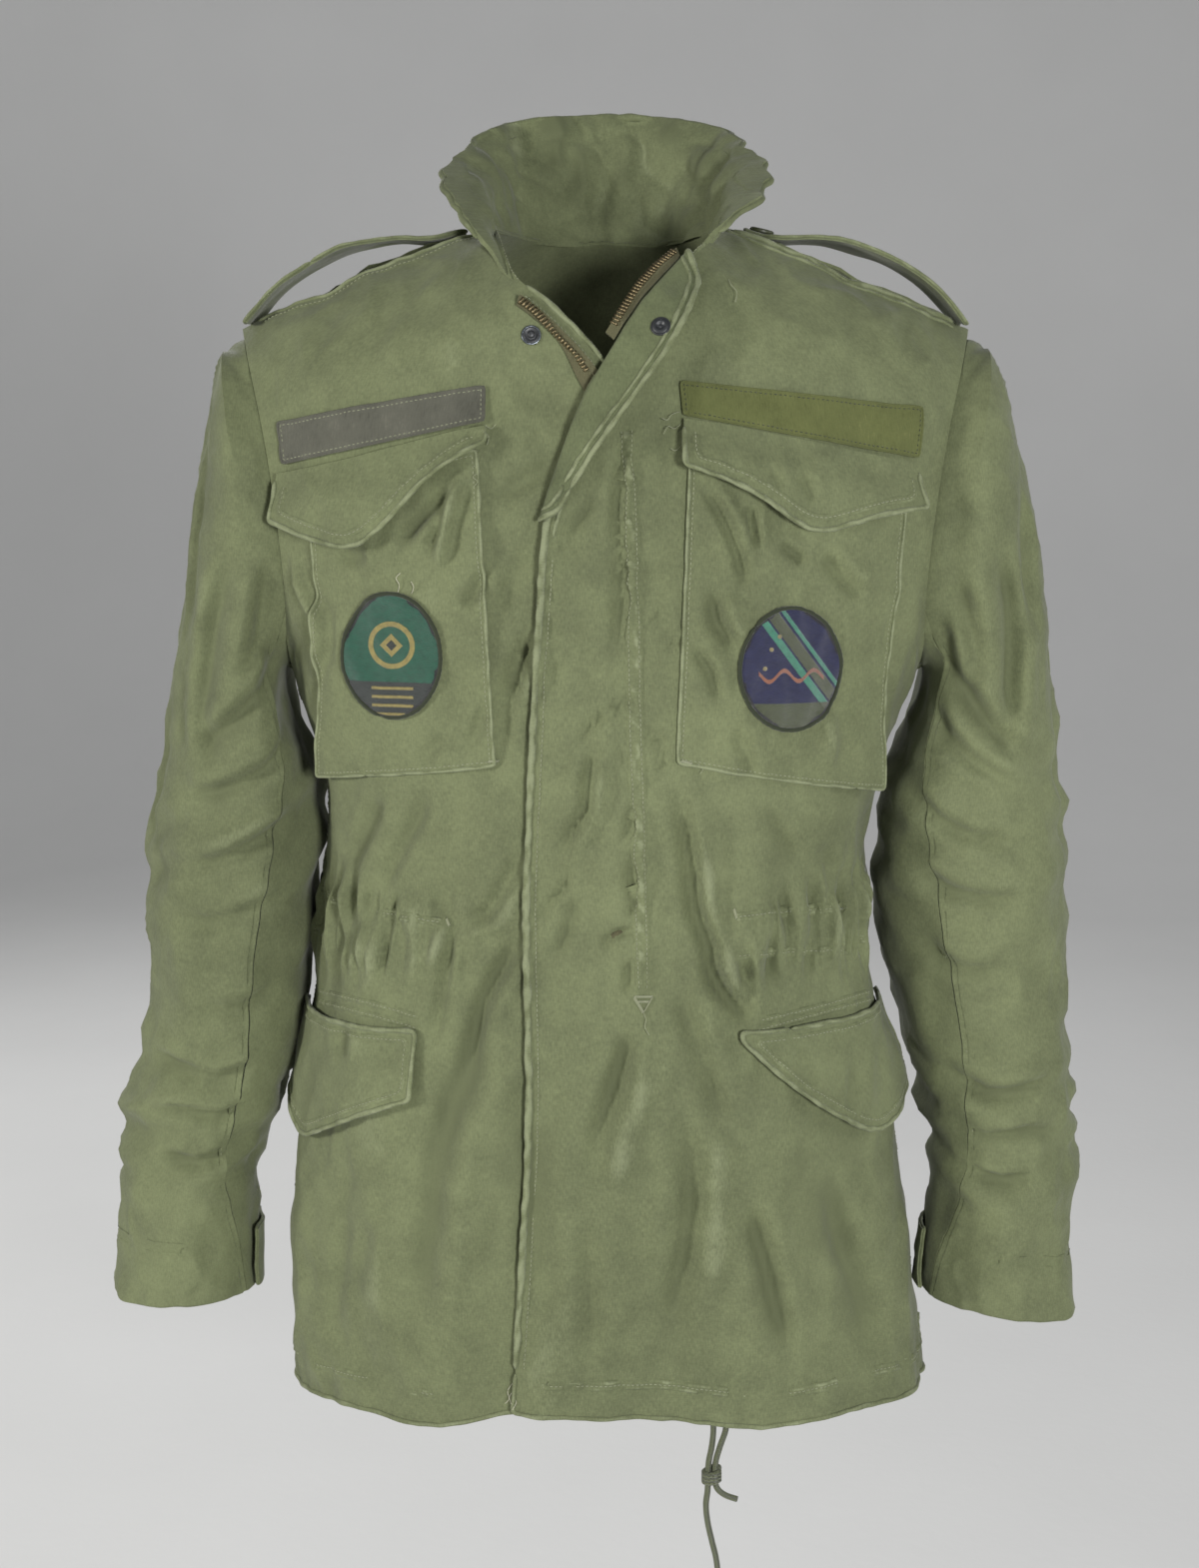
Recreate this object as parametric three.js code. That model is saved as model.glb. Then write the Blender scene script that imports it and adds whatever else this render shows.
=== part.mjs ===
// Field jacket in its worn, hollow form: hip length, stand collar spread open, storm flap over a zip.
// Millimetres, +Z up, front towards -Y, the wearer's left towards +X.
// The origin lies between the two points where the shoulder seams meet the neck.

import * as THREE from 'three';

// Cloth and seams

const WALL = 2;
const COLLAR_WALL = 3;
const POCKET_WALL = 1.5;
const TRIM_WALL = 1;
const SEAM_GAP = 0.4;
const REST_GAP = 0.8;

// Main sizes of the garment

const NECK_HALF = 72;
const SHOULDER_HALF = 240;
const ARMPIT_Z = - 292;
const HEM_Z = - 779;
const SHOULDER_ROUND = 80;
const BODY_SQUARENESS = 2.4;
const SLEEVE_SQUARENESS = 2.2;
const FLAP_RAISE = 3.7;
const UNDER_SET_BACK = 3.7;
const ROLL_RADIUS = 2.6;

// Grid counts

const ARMHOLE_ROWS = 10;
const FRONT_COLUMNS = 12;
const BACK_HALF_COLUMNS = 12;
const BACK_NECK_COLUMNS = 4;
const GATHER_SPLIT = 3;
const GATHER_DEPTH = 1.7;
const GATHER_START = 26;
const COLLAR_BACK_COLUMNS = 8;
const COLLAR_FRONT_COLUMNS = 6;
const NECK_ROWS = 3;
const SLEEVE_RINGS = 17;
const LATHE_SIDES = 12;

const COLOURS = {
	cloth: 0x58603f,
	facing: 0x5c6443,
	tapeGrey: 0x5b5748,
	tapeOlive: 0x6b6c33,
	patchGreen: 0x1c6b4a,
	patchNavy: 0x1d2550,
	brass: 0x8a7444,
	black: 0x1b1b1c,
	button: 0x3d4230,
	cord: 0x4a5138,
};

// Half widths and depths of the body at heights from neck to hem

const BODY = [
	{ z: 40, right: 255, left: 255, front: 70, back: 112 },
	{ z: 0, right: 255, left: 255, front: 76, back: 112 },
	{ z: - 26, right: 253, left: 253, front: 82, back: 114 },
	{ z: - 50, right: 252, left: 252, front: 90, back: 116 },
	{ z: - 100, right: 250, left: 250, front: 103, back: 122 },
	{ z: - 150, right: 245, left: 245, front: 112, back: 126 },
	{ z: - 200, right: 238, left: 237, front: 116, back: 124 },
	{ z: - 240, right: 228, left: 227, front: 117, back: 121 },
	{ z: - 292, right: 210, left: 210, front: 118, back: 118 },
	{ z: - 330, right: 196, left: 192, front: 118, back: 114 },
	{ z: - 377, right: 185, left: 181, front: 118, back: 111 },
	{ z: - 424, right: 190, left: 173, front: 118, back: 108 },
	{ z: - 452, right: 194, left: 176, front: 120, back: 110 },
	{ z: - 480, right: 195, left: 177, front: 121, back: 110 },
	{ z: - 508, right: 200, left: 182, front: 124, back: 113 },
	{ z: - 566, right: 206, left: 194, front: 127, back: 118 },
	{ z: - 624, right: 211, left: 198, front: 129, back: 122 },
	{ z: - 682, right: 214, left: 205, front: 130, back: 126 },
	{ z: - 742, right: 216, left: 217, front: 131, back: 130 },
	{ z: - 800, right: 219, left: 229, front: 132, back: 134 },
];

// Height of the shoulder ridge at a distance from the middle

const RIDGE = [
	{ x: 0, z: 14 },
	{ x: 40, z: 8 },
	{ x: 72, z: 0 },
	{ x: 99, z: - 7 },
	{ x: 149, z: - 25 },
	{ x: 202, z: - 48 },
	{ x: 240, z: - 66 },
	{ x: 262, z: - 78 },
];

// Back neck line

const BACK_NECK = [
	{ x: 0, z: - 4.7 },
	{ x: 25, z: - 5.7 },
	{ x: 45, z: - 5.4 },
	{ x: 60, z: - 2.6 },
	{ x: 68, z: - 0.6 },
	{ x: 72, z: 0 },
];

// Armhole edges, from the shoulder tip down to the armpit

const FRONT_ARMHOLE = [
	{ row: 0, x: 240, z: - 66 },
	{ row: 1, x: 233, z: - 83 },
	{ row: 3, x: 221, z: - 124 },
	{ row: 5, x: 213, z: - 170 },
	{ row: 6, x: 210, z: - 195 },
	{ row: 7, x: 208, z: - 220 },
	{ row: 8, x: 207, z: - 245 },
	{ row: 10, x: 210, z: - 292 },
];

const BACK_ARMHOLE = [
	{ row: 0, x: 240, z: - 66 },
	{ row: 1, x: 233, z: - 86 },
	{ row: 3, x: 221, z: - 130 },
	{ row: 5, x: 214, z: - 178 },
	{ row: 7, x: 211, z: - 226 },
	{ row: 8, x: 210, z: - 248 },
	{ row: 10, x: 210, z: - 292 },
];

// Front edges: the over front on the wearer's left rolls open from row 3 to row 10

const LEFT_EDGE = [
	{ row: 0, x: 72, z: 0 },
	{ row: 1, x: 69, z: - 7 },
	{ row: 2, x: 62, z: - 16 },
	{ row: 3, x: 51, z: - 25 },
	{ row: 5, x: 24, z: - 57 },
	{ row: 7, x: 0, z: - 94 },
	{ row: 8, x: - 14, z: - 119 },
	{ row: 10, x: - 38, z: - 184 },
];

const LEFT_EDGE_BELOW = [
	{ z: - 184, x: - 38 },
	{ z: - 235, x: - 41 },
	{ z: - 362, x: - 48 },
	{ z: - 426, x: - 50.5 },
	{ z: - 556, x: - 49 },
	{ z: - 689, x: - 56 },
	{ z: - 779, x: - 61 },
];

const RIGHT_EDGE = [
	{ row: 0, x: - 72, z: 0 },
	{ row: 1, x: - 69, z: - 7 },
	{ row: 2, x: - 64, z: - 19 },
	{ row: 3, x: - 58, z: - 38 },
	{ row: 4, x: - 39, z: - 51 },
	{ row: 5, x: - 24, z: - 63 },
	{ row: 7, x: 2, z: - 91 },
	{ row: 8, x: 10, z: - 112 },
	{ row: 9, x: 14, z: - 145 },
	{ row: 10, x: 14, z: - 184 },
];

const RIGHT_EDGE_BELOW = [
	{ z: - 184, x: 14 },
	{ z: - 779, x: 14 },
];

// Free edge of the turned-back facing, beside the rolled edge

const FACING_EDGE = [
	{ row: 3, x: 57.5, y: - 79, z: - 39 },
	{ row: 4, x: 54, y: - 95, z: - 50 },
	{ row: 5, x: 46, y: - 109, z: - 67 },
	{ row: 6, x: 33, y: - 120, z: - 88 },
	{ row: 7, x: 19, y: - 126, z: - 107 },
	{ row: 8, x: 5, y: - 128, z: - 126 },
	{ row: 9, x: - 14, y: - 126, z: - 153 },
	{ row: 10, x: - 30, y: - 123, z: - 180 },
];

// Rows of the body below the armpit: height at the side and at the front edge

const LOWER_ROWS = [
	{ side: - 325, edge: - 250, fine: false },
	{ side: - 360, edge: - 315, fine: false },
	{ side: - 397, edge: - 380, fine: false },
	{ side: - 427, edge: - 425, fine: false },
	{ side: - 440, edge: - 440, fine: true },
	{ side: - 454, edge: - 454, fine: true },
	{ side: - 468, edge: - 468, fine: true },
	{ side: - 482, edge: - 482, fine: false },
	{ side: - 514, edge: - 514, fine: false },
	{ side: - 554, edge: - 554, fine: false },
	{ side: - 596, edge: - 596, fine: false },
	{ side: - 638, edge: - 638, fine: false },
	{ side: - 680, edge: - 680, fine: false },
	{ side: - 720, edge: - 720, fine: false },
	{ side: - 753, edge: - 750, fine: false },
	{ side: HEM_Z, edge: HEM_Z, fine: false, hem: true },
];

const HEM = [
	{ x: - 220, z: - 783 },
	{ x: - 150, z: - 777 },
	{ x: - 105, z: - 780 },
	{ x: - 60, z: - 766 },
	{ x: 0, z: - 767 },
	{ x: 62, z: - 771 },
	{ x: 113, z: - 782 },
	{ x: 150, z: - 777 },
	{ x: 230, z: - 783 },
];

// Largest folds of the body: a soft ridge or trough from one point to another.
// Turn is the angle round the body in degrees, 0 at the front, 90 at the wearer's left, 180 at the back.

const FOLDS = [
	{ turn1: - 29, z1: - 560, turn2: - 30, z2: - 800, width: 34, rise: 7 },
	{ turn1: 31, z1: - 600, turn2: 32, z2: - 800, width: 32, rise: 8 },
	{ turn1: - 16, z1: - 640, turn2: - 15, z2: - 800, width: 20, rise: - 4 },
	{ turn1: 17, z1: - 600, turn2: 15, z2: - 800, width: 22, rise: - 5 },
	{ turn1: 47, z1: - 640, turn2: 46, z2: - 800, width: 24, rise: - 4 },
	{ turn1: - 46, z1: - 620, turn2: - 47, z2: - 800, width: 24, rise: - 4 },
	{ turn1: 14, z1: - 380, turn2: 27, z2: - 520, width: 18, rise: - 5 },
	{ turn1: 27, z1: - 520, turn2: 22, z2: - 660, width: 20, rise: - 4 },
	{ turn1: 22, z1: - 400, turn2: 36, z2: - 500, width: 20, rise: 4 },
	{ turn1: - 22, z1: - 380, turn2: - 34, z2: - 470, width: 22, rise: - 4 },
	{ turn1: - 18, z1: - 470, turn2: - 22, z2: - 640, width: 24, rise: 4 },
	{ turn1: 2, z1: - 300, turn2: - 3, z2: - 480, width: 22, rise: 3 },
	{ turn1: - 12, z1: - 70, turn2: - 20, z2: - 130, width: 20, rise: - 4 },
	{ turn1: 70, z1: - 600, turn2: 72, z2: - 800, width: 26, rise: 5 },
	{ turn1: - 72, z1: - 600, turn2: - 70, z2: - 800, width: 26, rise: 4 },
	{ turn1: 108, z1: - 520, turn2: 112, z2: - 800, width: 28, rise: 6 },
	{ turn1: 128, z1: - 480, turn2: 131, z2: - 760, width: 24, rise: - 5 },
	{ turn1: 150, z1: - 560, turn2: 147, z2: - 800, width: 32, rise: 8 },
	{ turn1: 170, z1: - 500, turn2: 172, z2: - 800, width: 26, rise: - 5 },
	{ turn1: 194, z1: - 560, turn2: 192, z2: - 800, width: 30, rise: 7 },
	{ turn1: 214, z1: - 480, turn2: 217, z2: - 780, width: 24, rise: - 5 },
	{ turn1: 236, z1: - 540, turn2: 233, z2: - 800, width: 28, rise: 6 },
	{ turn1: 254, z1: - 600, turn2: 252, z2: - 800, width: 22, rise: - 4 },
	{ turn1: 143, z1: - 130, turn2: 128, z2: - 330, width: 22, rise: 6 },
	{ turn1: 217, z1: - 120, turn2: 233, z2: - 320, width: 22, rise: 6 },
	{ turn1: 152, z1: - 210, turn2: 138, z2: - 400, width: 24, rise: - 5 },
	{ turn1: 208, z1: - 220, turn2: 223, z2: - 390, width: 24, rise: - 5 },
	{ turn1: 160, z1: - 330, turn2: 198, z2: - 350, width: 18, rise: 4 },
	{ turn1: 172, z1: - 380, turn2: 214, z2: - 400, width: 16, rise: - 3 },
];

// Sleeve rings from the armhole to the cuff: outer point, inner point, half depth, middle, seam angles.
// The angle round a ring is 0 outside, 90 in front, 180 inside, 270 behind.

const SLEEVE_LEFT = [
	{ ring: 1, outX: 251, outZ: - 76, inX: 214, inZ: - 288, depth: 76, y: 0, front: 144, back: 253 },
	{ ring: 2, outX: 264, outZ: - 102, inX: 219, inZ: - 296, depth: 78, y: 3, front: 141, back: 252 },
	{ ring: 3, outX: 276, outZ: - 150, inX: 214, inZ: - 315, depth: 78, y: 6, front: 138, back: 251 },
	{ ring: 4, outX: 287, outZ: - 210, inX: 204, inZ: - 340, depth: 77, y: 9, front: 135, back: 250 },
	{ ring: 5, outX: 298, outZ: - 268, inX: 194, inZ: - 368, depth: 76, y: 11, front: 130, back: 250 },
	{ ring: 6, outX: 306, outZ: - 322, inX: 187, inZ: - 400, depth: 74, y: 12, front: 125, back: 250 },
	{ ring: 7, outX: 312, outZ: - 376, inX: 185.5, inZ: - 432, depth: 72, y: 13, front: 120, back: 250 },
	{ ring: 8, outX: 316, outZ: - 424, inX: 188, inZ: - 464, depth: 70, y: 14, front: 116, back: 250 },
	{ ring: 9, outX: 318, outZ: - 468, inX: 194, inZ: - 496, depth: 68, y: 15, front: 114, back: 250 },
	{ ring: 10, outX: 320, outZ: - 510, inX: 204, inZ: - 530, depth: 65, y: 14, front: 114, back: 250 },
	{ ring: 11, outX: 322, outZ: - 550, inX: 213, inZ: - 562, depth: 62, y: 10, front: 116, back: 251 },
	{ ring: 12, outX: 324, outZ: - 590, inX: 220, inZ: - 594, depth: 59, y: 5, front: 120, back: 252 },
	{ ring: 13, outX: 326, outZ: - 628, inX: 227, inZ: - 624, depth: 56, y: 0, front: 126, back: 253 },
	{ ring: 14, outX: 325, outZ: - 662, inX: 229, inZ: - 654, depth: 53, y: - 6, front: 136, back: 254 },
	{ ring: 15, outX: 323, outZ: - 692, inX: 225, inZ: - 680, depth: 50, y: - 10, front: 146, back: 255 },
	{ ring: 16, outX: 325, outZ: - 713, inX: 223, inZ: - 700, depth: 49, y: - 13, front: 152, back: 255 },
	{ ring: 17, outX: 326, outZ: - 736, inX: 222, inZ: - 722, depth: 48, y: - 15, front: 156, back: 255 },
];

const SLEEVE_RIGHT = [
	{ ring: 1, outX: 250, outZ: - 78, inX: 214, inZ: - 288, depth: 76, y: 0, front: 144, back: 253 },
	{ ring: 2, outX: 258, outZ: - 104, inX: 219, inZ: - 296, depth: 78, y: 3, front: 141, back: 252 },
	{ ring: 3, outX: 266, outZ: - 152, inX: 215, inZ: - 315, depth: 78, y: 6, front: 138, back: 251 },
	{ ring: 4, outX: 277, outZ: - 212, inX: 207, inZ: - 340, depth: 77, y: 9, front: 135, back: 250 },
	{ ring: 5, outX: 289, outZ: - 270, inX: 197, inZ: - 368, depth: 76, y: 11, front: 130, back: 250 },
	{ ring: 6, outX: 298, outZ: - 324, inX: 196, inZ: - 400, depth: 74, y: 12, front: 125, back: 250 },
	{ ring: 7, outX: 307, outZ: - 376, inX: 198, inZ: - 432, depth: 72, y: 13, front: 120, back: 250 },
	{ ring: 8, outX: 312, outZ: - 424, inX: 201, inZ: - 464, depth: 70, y: 14, front: 116, back: 250 },
	{ ring: 9, outX: 315.5, outZ: - 468, inX: 205, inZ: - 496, depth: 68, y: 15, front: 114, back: 250 },
	{ ring: 10, outX: 313.5, outZ: - 510, inX: 209, inZ: - 530, depth: 65, y: 14, front: 114, back: 250 },
	{ ring: 11, outX: 321, outZ: - 550, inX: 214, inZ: - 562, depth: 62, y: 10, front: 116, back: 251 },
	{ ring: 12, outX: 331, outZ: - 588, inX: 225, inZ: - 594, depth: 59, y: 5, front: 120, back: 252 },
	{ ring: 13, outX: 336, outZ: - 624, inX: 243, inZ: - 628, depth: 56, y: 0, front: 126, back: 253 },
	{ ring: 14, outX: 338, outZ: - 656, inX: 247, inZ: - 658, depth: 53, y: - 6, front: 136, back: 254 },
	{ ring: 15, outX: 339, outZ: - 682, inX: 244, inZ: - 680, depth: 50, y: - 10, front: 146, back: 255 },
	{ ring: 16, outX: 342, outZ: - 700, inX: 245, inZ: - 698, depth: 49, y: - 13, front: 152, back: 255 },
	{ ring: 17, outX: 344, outZ: - 720, inX: 247, inZ: - 719, depth: 48, y: - 15, front: 156, back: 255 },
];

// Largest folds of the sleeves, from one ring and angle to another

const SLEEVE_FOLDS = [
	{ side: 1, turn1: 20, ring1: 3, turn2: 60, ring2: 8, width: 18, rise: 4 },
	{ side: 1, turn1: 60, ring1: 3, turn2: 100, ring2: 7, width: 18, rise: - 4 },
	{ side: 1, turn1: 40, ring1: 9, turn2: 110, ring2: 10.4, width: 15, rise: - 5 },
	{ side: 1, turn1: 60, ring1: 11, turn2: 118, ring2: 11.6, width: 14, rise: 5 },
	{ side: 1, turn1: 30, ring1: 12.6, turn2: 110, ring2: 12.9, width: 13, rise: - 5 },
	{ side: 1, turn1: 40, ring1: 14.1, turn2: 140, ring2: 14, width: 13, rise: 5 },
	{ side: 1, turn1: 230, ring1: 8, turn2: 320, ring2: 9, width: 18, rise: - 5 },
	{ side: 1, turn1: 240, ring1: 12, turn2: 330, ring2: 11.4, width: 16, rise: 5 },
	{ side: - 1, turn1: 30, ring1: 4, turn2: 70, ring2: 9, width: 18, rise: - 4 },
	{ side: - 1, turn1: 0, ring1: 10, turn2: 110, ring2: 11.2, width: 15, rise: - 6 },
	{ side: - 1, turn1: 10, ring1: 11.6, turn2: 110, ring2: 12, width: 14, rise: 5 },
	{ side: - 1, turn1: 20, ring1: 13, turn2: 120, ring2: 13.3, width: 13, rise: - 5 },
	{ side: - 1, turn1: 30, ring1: 14.2, turn2: 140, ring2: 14.2, width: 13, rise: 5 },
	{ side: - 1, turn1: 235, ring1: 7.4, turn2: 320, ring2: 8.6, width: 18, rise: 5 },
	{ side: - 1, turn1: 240, ring1: 10.6, turn2: 330, ring2: 11.8, width: 16, rise: - 5 },
];

const SLEEVE_GIRTH_PER_RADIAN = 68;
const SLEEVE_RING_STEP = 38;
const BODY_GIRTH_PER_RADIAN = 160;

// Top edge of the collar, part 0 at the middle of the back and 1 at the front corner

const COLLAR_TOP = [
	{ part: 0, x: 0, y: 105, z: 85 },
	{ part: 0.25, x: 48, y: 98, z: 81 },
	{ part: 0.46, x: 80, y: 75, z: 71 },
	{ part: 0.7, x: 97, y: 40, z: 53 },
	{ part: 0.88, x: 105, y: 9, z: 36 },
	{ part: 1, x: 105, y: - 12, z: 24 },
];

const COLLAR_SHOULDER_PART = 0.52;
const COLLAR_RISE = [ 0, 0.07, 0.25, 0.5, 0.75, 1 ];

// Chest pockets and flaps, hip flaps, tapes and patches, by side: 1 left, -1 right.
// Distances from the middle grow towards the wearer's side.

const CHEST_POCKET = {
	left: {
		in1X: 52, in1Z: - 148, in2X: 45, in2Z: - 338,
		out1X: 190, out1Z: - 176, out2X: 172, out2Z: - 362,
	},
	right: {
		in1X: 80, in1Z: - 143, in2X: 70, in2Z: - 340,
		out1X: 186, out1Z: - 170, out2X: 180, out2Z: - 354,
	},
};

const CHEST_FLAP = {
	left: [
		{ x: 48, top: - 124, bottom: - 153 },
		{ x: 70, top: - 127, bottom: - 160 },
		{ x: 92, top: - 131, bottom: - 170 },
		{ x: 112, top: - 135, bottom: - 185 },
		{ x: 128, top: - 138, bottom: - 193 },
		{ x: 150, top: - 143, bottom: - 188 },
		{ x: 172, top: - 147, bottom: - 182 },
		{ x: 196, top: - 152, bottom: - 178 },
	],
	right: [
		{ x: 74, top: - 128, bottom: - 138 },
		{ x: 95, top: - 132, bottom: - 150 },
		{ x: 115, top: - 137, bottom: - 166 },
		{ x: 135, top: - 142, bottom: - 189 },
		{ x: 154, top: - 147, bottom: - 203 },
		{ x: 172, top: - 151, bottom: - 200 },
		{ x: 190, top: - 155, bottom: - 194 },
		{ x: 207, top: - 158, bottom: - 187 },
	],
};

const HIP_FLAP = {
	left: [
		{ turn: 27, top: - 513, bottom: - 519 },
		{ turn: 33, top: - 514, bottom: - 540 },
		{ turn: 40, top: - 514, bottom: - 562 },
		{ turn: 48, top: - 514, bottom: - 578 },
		{ turn: 57, top: - 514, bottom: - 592 },
		{ turn: 68, top: - 514, bottom: - 588 },
		{ turn: 80, top: - 514, bottom: - 580 },
		{ turn: 92, top: - 514, bottom: - 570 },
	],
	right: [
		{ turn: 35, top: - 514, bottom: - 558 },
		{ turn: 41, top: - 515, bottom: - 566 },
		{ turn: 48, top: - 516, bottom: - 577 },
		{ turn: 56, top: - 517, bottom: - 589 },
		{ turn: 65, top: - 518, bottom: - 600 },
		{ turn: 74, top: - 519, bottom: - 592 },
		{ turn: 84, top: - 519, bottom: - 582 },
		{ turn: 94, top: - 520, bottom: - 572 },
	],
};

const TAPE = {
	left: {
		in1X: 46, in1Z: - 101, in2X: 48, in2Z: - 121.5,
		out1X: 199, out1Z: - 117, out2X: 197, out2Z: - 148,
	},
	right: {
		in1X: 76, in1Z: - 103, in2X: 75.5, in2Z: - 125,
		out1X: 208, out1Z: - 126, out2X: 205.5, out2Z: - 152,
	},
};

const PATCH = {
	left: { x: 115, z: - 279, halfWidth: 32, halfHeight: 39 },
	right: { x: 133, z: - 271, halfWidth: 31, halfHeight: 40 },
};

const POCKET_BELLY = 2.2;
const POCKET_CORNER = 9;
const CHEST_FLAP_LIFT = 8;
const HIP_FLAP_LIFT = 5;

// The tab's rings and angles are those of the sleeve tables; its free end is lifted

const CUFF_TAB = { fromRing: 14.9, toRing: 16.8, fromTurn: 160, toTurn: 240, lift: 4 };

const EPAULET = {
	tipX: 92,
	halfWidth: 24,
	tipLength: 16,
	rows: [
		{ x: 92, lift: 2.6 },
		{ x: 104, lift: 3 },
		{ x: 116, lift: 5 },
		{ x: 130, lift: 11 },
		{ x: 150, lift: 17 },
		{ x: 170, lift: 20 },
		{ x: 195, lift: 21 },
		{ x: 212, lift: 17 },
		{ x: 226, lift: 9 },
		{ x: 235, lift: 2.7 },
	],
	stations: [ 92, 97, 103, 109, 116, 124, 134, 147, 162, 177, 192, 205, 216, 226, 235 ],
};

const BUTTON = { x: 104, radius: 8.5, height: 3 };
const SNAP = { radius: 6.5, height: 3.2 };
const SNAP_RIGHT = { x: - 46, z: - 71.5 };
const SNAP_LEFT_ROW = 5.3;
const SNAP_LEFT_ACROSS = 0.58;
const ZIP_REST = 1.1;
const ZIP_TOOTH_HEIGHT = 1.4;
const ZIP_BOTTOM_Z = - 690;

const CORD_RADIUS = 2;
const CORD_SIDES = 8;
const CORD_LONG = [
	{ x: 70, y: - 121.5, z: - 752 },
	{ x: 70.5, y: - 122.5, z: - 768 },
	{ x: 71, y: - 123, z: - 781 },
	{ x: 70, y: - 123.5, z: - 792 },
	{ x: 68, y: - 124, z: - 803 },
	{ x: 67.7, y: - 124, z: - 813 },
	{ x: 67.4, y: - 124, z: - 823 },
	{ x: 66.4, y: - 124, z: - 833 },
	{ x: 67.6, y: - 124, z: - 845 },
	{ x: 70.6, y: - 123.5, z: - 859 },
	{ x: 73.4, y: - 123, z: - 871 },
	{ x: 74.8, y: - 122.5, z: - 883 },
	{ x: 75.4, y: - 122, z: - 898 },
];
const CORD_SHORT = [
	{ x: 80, y: - 121.5, z: - 752 },
	{ x: 80, y: - 122.5, z: - 768 },
	{ x: 79, y: - 123, z: - 781 },
	{ x: 75.5, y: - 123.5, z: - 792 },
	{ x: 72.6, y: - 124, z: - 803 },
	{ x: 72.2, y: - 124, z: - 813 },
	{ x: 73.6, y: - 124, z: - 821 },
	{ x: 79, y: - 124, z: - 826 },
	{ x: 87, y: - 124, z: - 829 },
];
const KNOT = { x: 69.95, y: - 124, z: - 812, inner: 4.6, outer: 7.4, height: 11 };

const group = new THREE.Group();

// Numbers and curves

function mix( a, b, t ) {

	return a + ( b - a ) * t;

}

function smooth( from, to, value ) {

	const t = Math.min( Math.max( ( value - from ) / ( to - from ), 0 ), 1 );
	return t * t * ( 3 - 2 * t );

}

function radians( degrees ) {

	return degrees * Math.PI / 180;

}

// Reads one column of a table against another, smoothly between the rows

function reader( rows, from, to ) {

	const sorted = [ ...rows ].sort( ( a, b ) => a[ from ] - b[ from ] );
	const last = sorted.length - 1;

	function slope( i ) {

		const a = sorted[ Math.max( i - 1, 0 ) ];
		const b = sorted[ Math.min( i + 1, last ) ];
		return ( b[ to ] - a[ to ] ) / ( b[ from ] - a[ from ] );

	}

	return ( value ) => {

		if ( value <= sorted[ 0 ][ from ] ) return sorted[ 0 ][ to ];
		if ( value >= sorted[ last ][ from ] ) return sorted[ last ][ to ];
		const i = sorted.findIndex( ( row ) => row[ from ] > value ) - 1;
		const span = sorted[ i + 1 ][ from ] - sorted[ i ][ from ];
		const t = ( value - sorted[ i ][ from ] ) / span;
		const start = ( 1 + 2 * t ) * ( 1 - t ) * ( 1 - t ) * sorted[ i ][ to ];
		const end = t * t * ( 3 - 2 * t ) * sorted[ i + 1 ][ to ];
		const rise = t * ( 1 - t ) * ( 1 - t ) * span * slope( i );
		const fall = t * t * ( t - 1 ) * span * slope( i + 1 );
		return start + end + rise + fall;

	};

}

// Height of a set of folds at a place, where the place and the folds are in millimetres along the cloth

function foldHeight( folds, u, v ) {

	let height = 0;

	for ( const fold of folds ) {

		const du = fold.u2 - fold.u1;
		const dv = fold.v2 - fold.v1;
		const length = Math.hypot( du, dv );
		const along = ( ( u - fold.u1 ) * du + ( v - fold.v1 ) * dv ) / ( length * length );
		if ( along <= 0 || along >= 1 ) continue;
		const away = Math.abs( ( u - fold.u1 ) * dv - ( v - fold.v1 ) * du ) / length;
		const ends = smooth( 0, 0.35, along ) * smooth( 0, 0.35, 1 - along );
		height += fold.rise * ends * Math.exp( - ( ( away / fold.width ) ** 2 ) );

	}

	return height;

}

// Body surface

const bodyRight = reader( BODY, 'z', 'right' );
const bodyLeft = reader( BODY, 'z', 'left' );
const bodyFront = reader( BODY, 'z', 'front' );
const bodyBack = reader( BODY, 'z', 'back' );
const ridge = reader( RIDGE, 'x', 'z' );
const backNeck = reader( BACK_NECK, 'x', 'z' );
const hemHeight = reader( HEM, 'x', 'z' );

const bodyFolds = FOLDS.map( ( fold ) => ( {
	u1: radians( fold.turn1 ) * BODY_GIRTH_PER_RADIAN,
	u2: radians( fold.turn2 ) * BODY_GIRTH_PER_RADIAN,
	v1: fold.z1,
	v2: fold.z2,
	width: fold.width,
	rise: fold.rise,
} ) );

function squareRadius( turn, power ) {

	const a = Math.abs( Math.sin( turn ) ) ** power;
	const b = Math.abs( Math.cos( turn ) ) ** power;
	return ( a + b ) ** ( - 1 / power );

}

function halfWidth( turn, z ) {

	return Math.sin( turn ) > 0 ? bodyLeft( z ) : bodyRight( z );

}

function bodyX( turn, z ) {

	return halfWidth( turn, z ) * Math.sin( turn ) * squareRadius( turn, BODY_SQUARENESS );

}

function bodyBase( turn, z ) {

	const x = bodyX( turn, z );
	const depth = Math.cos( turn ) > 0 ? bodyFront( z ) : bodyBack( z );
	const below = Math.min( Math.max( ( ridge( Math.abs( x ) ) - z ) / SHOULDER_ROUND, 0 ), 1 );
	const swell = Math.sqrt( 1 - ( 1 - below ) ** 2 );
	const y = - depth * Math.cos( turn ) * squareRadius( turn, BODY_SQUARENESS ) * swell;
	return new THREE.Vector3( x, y, z );

}

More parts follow.
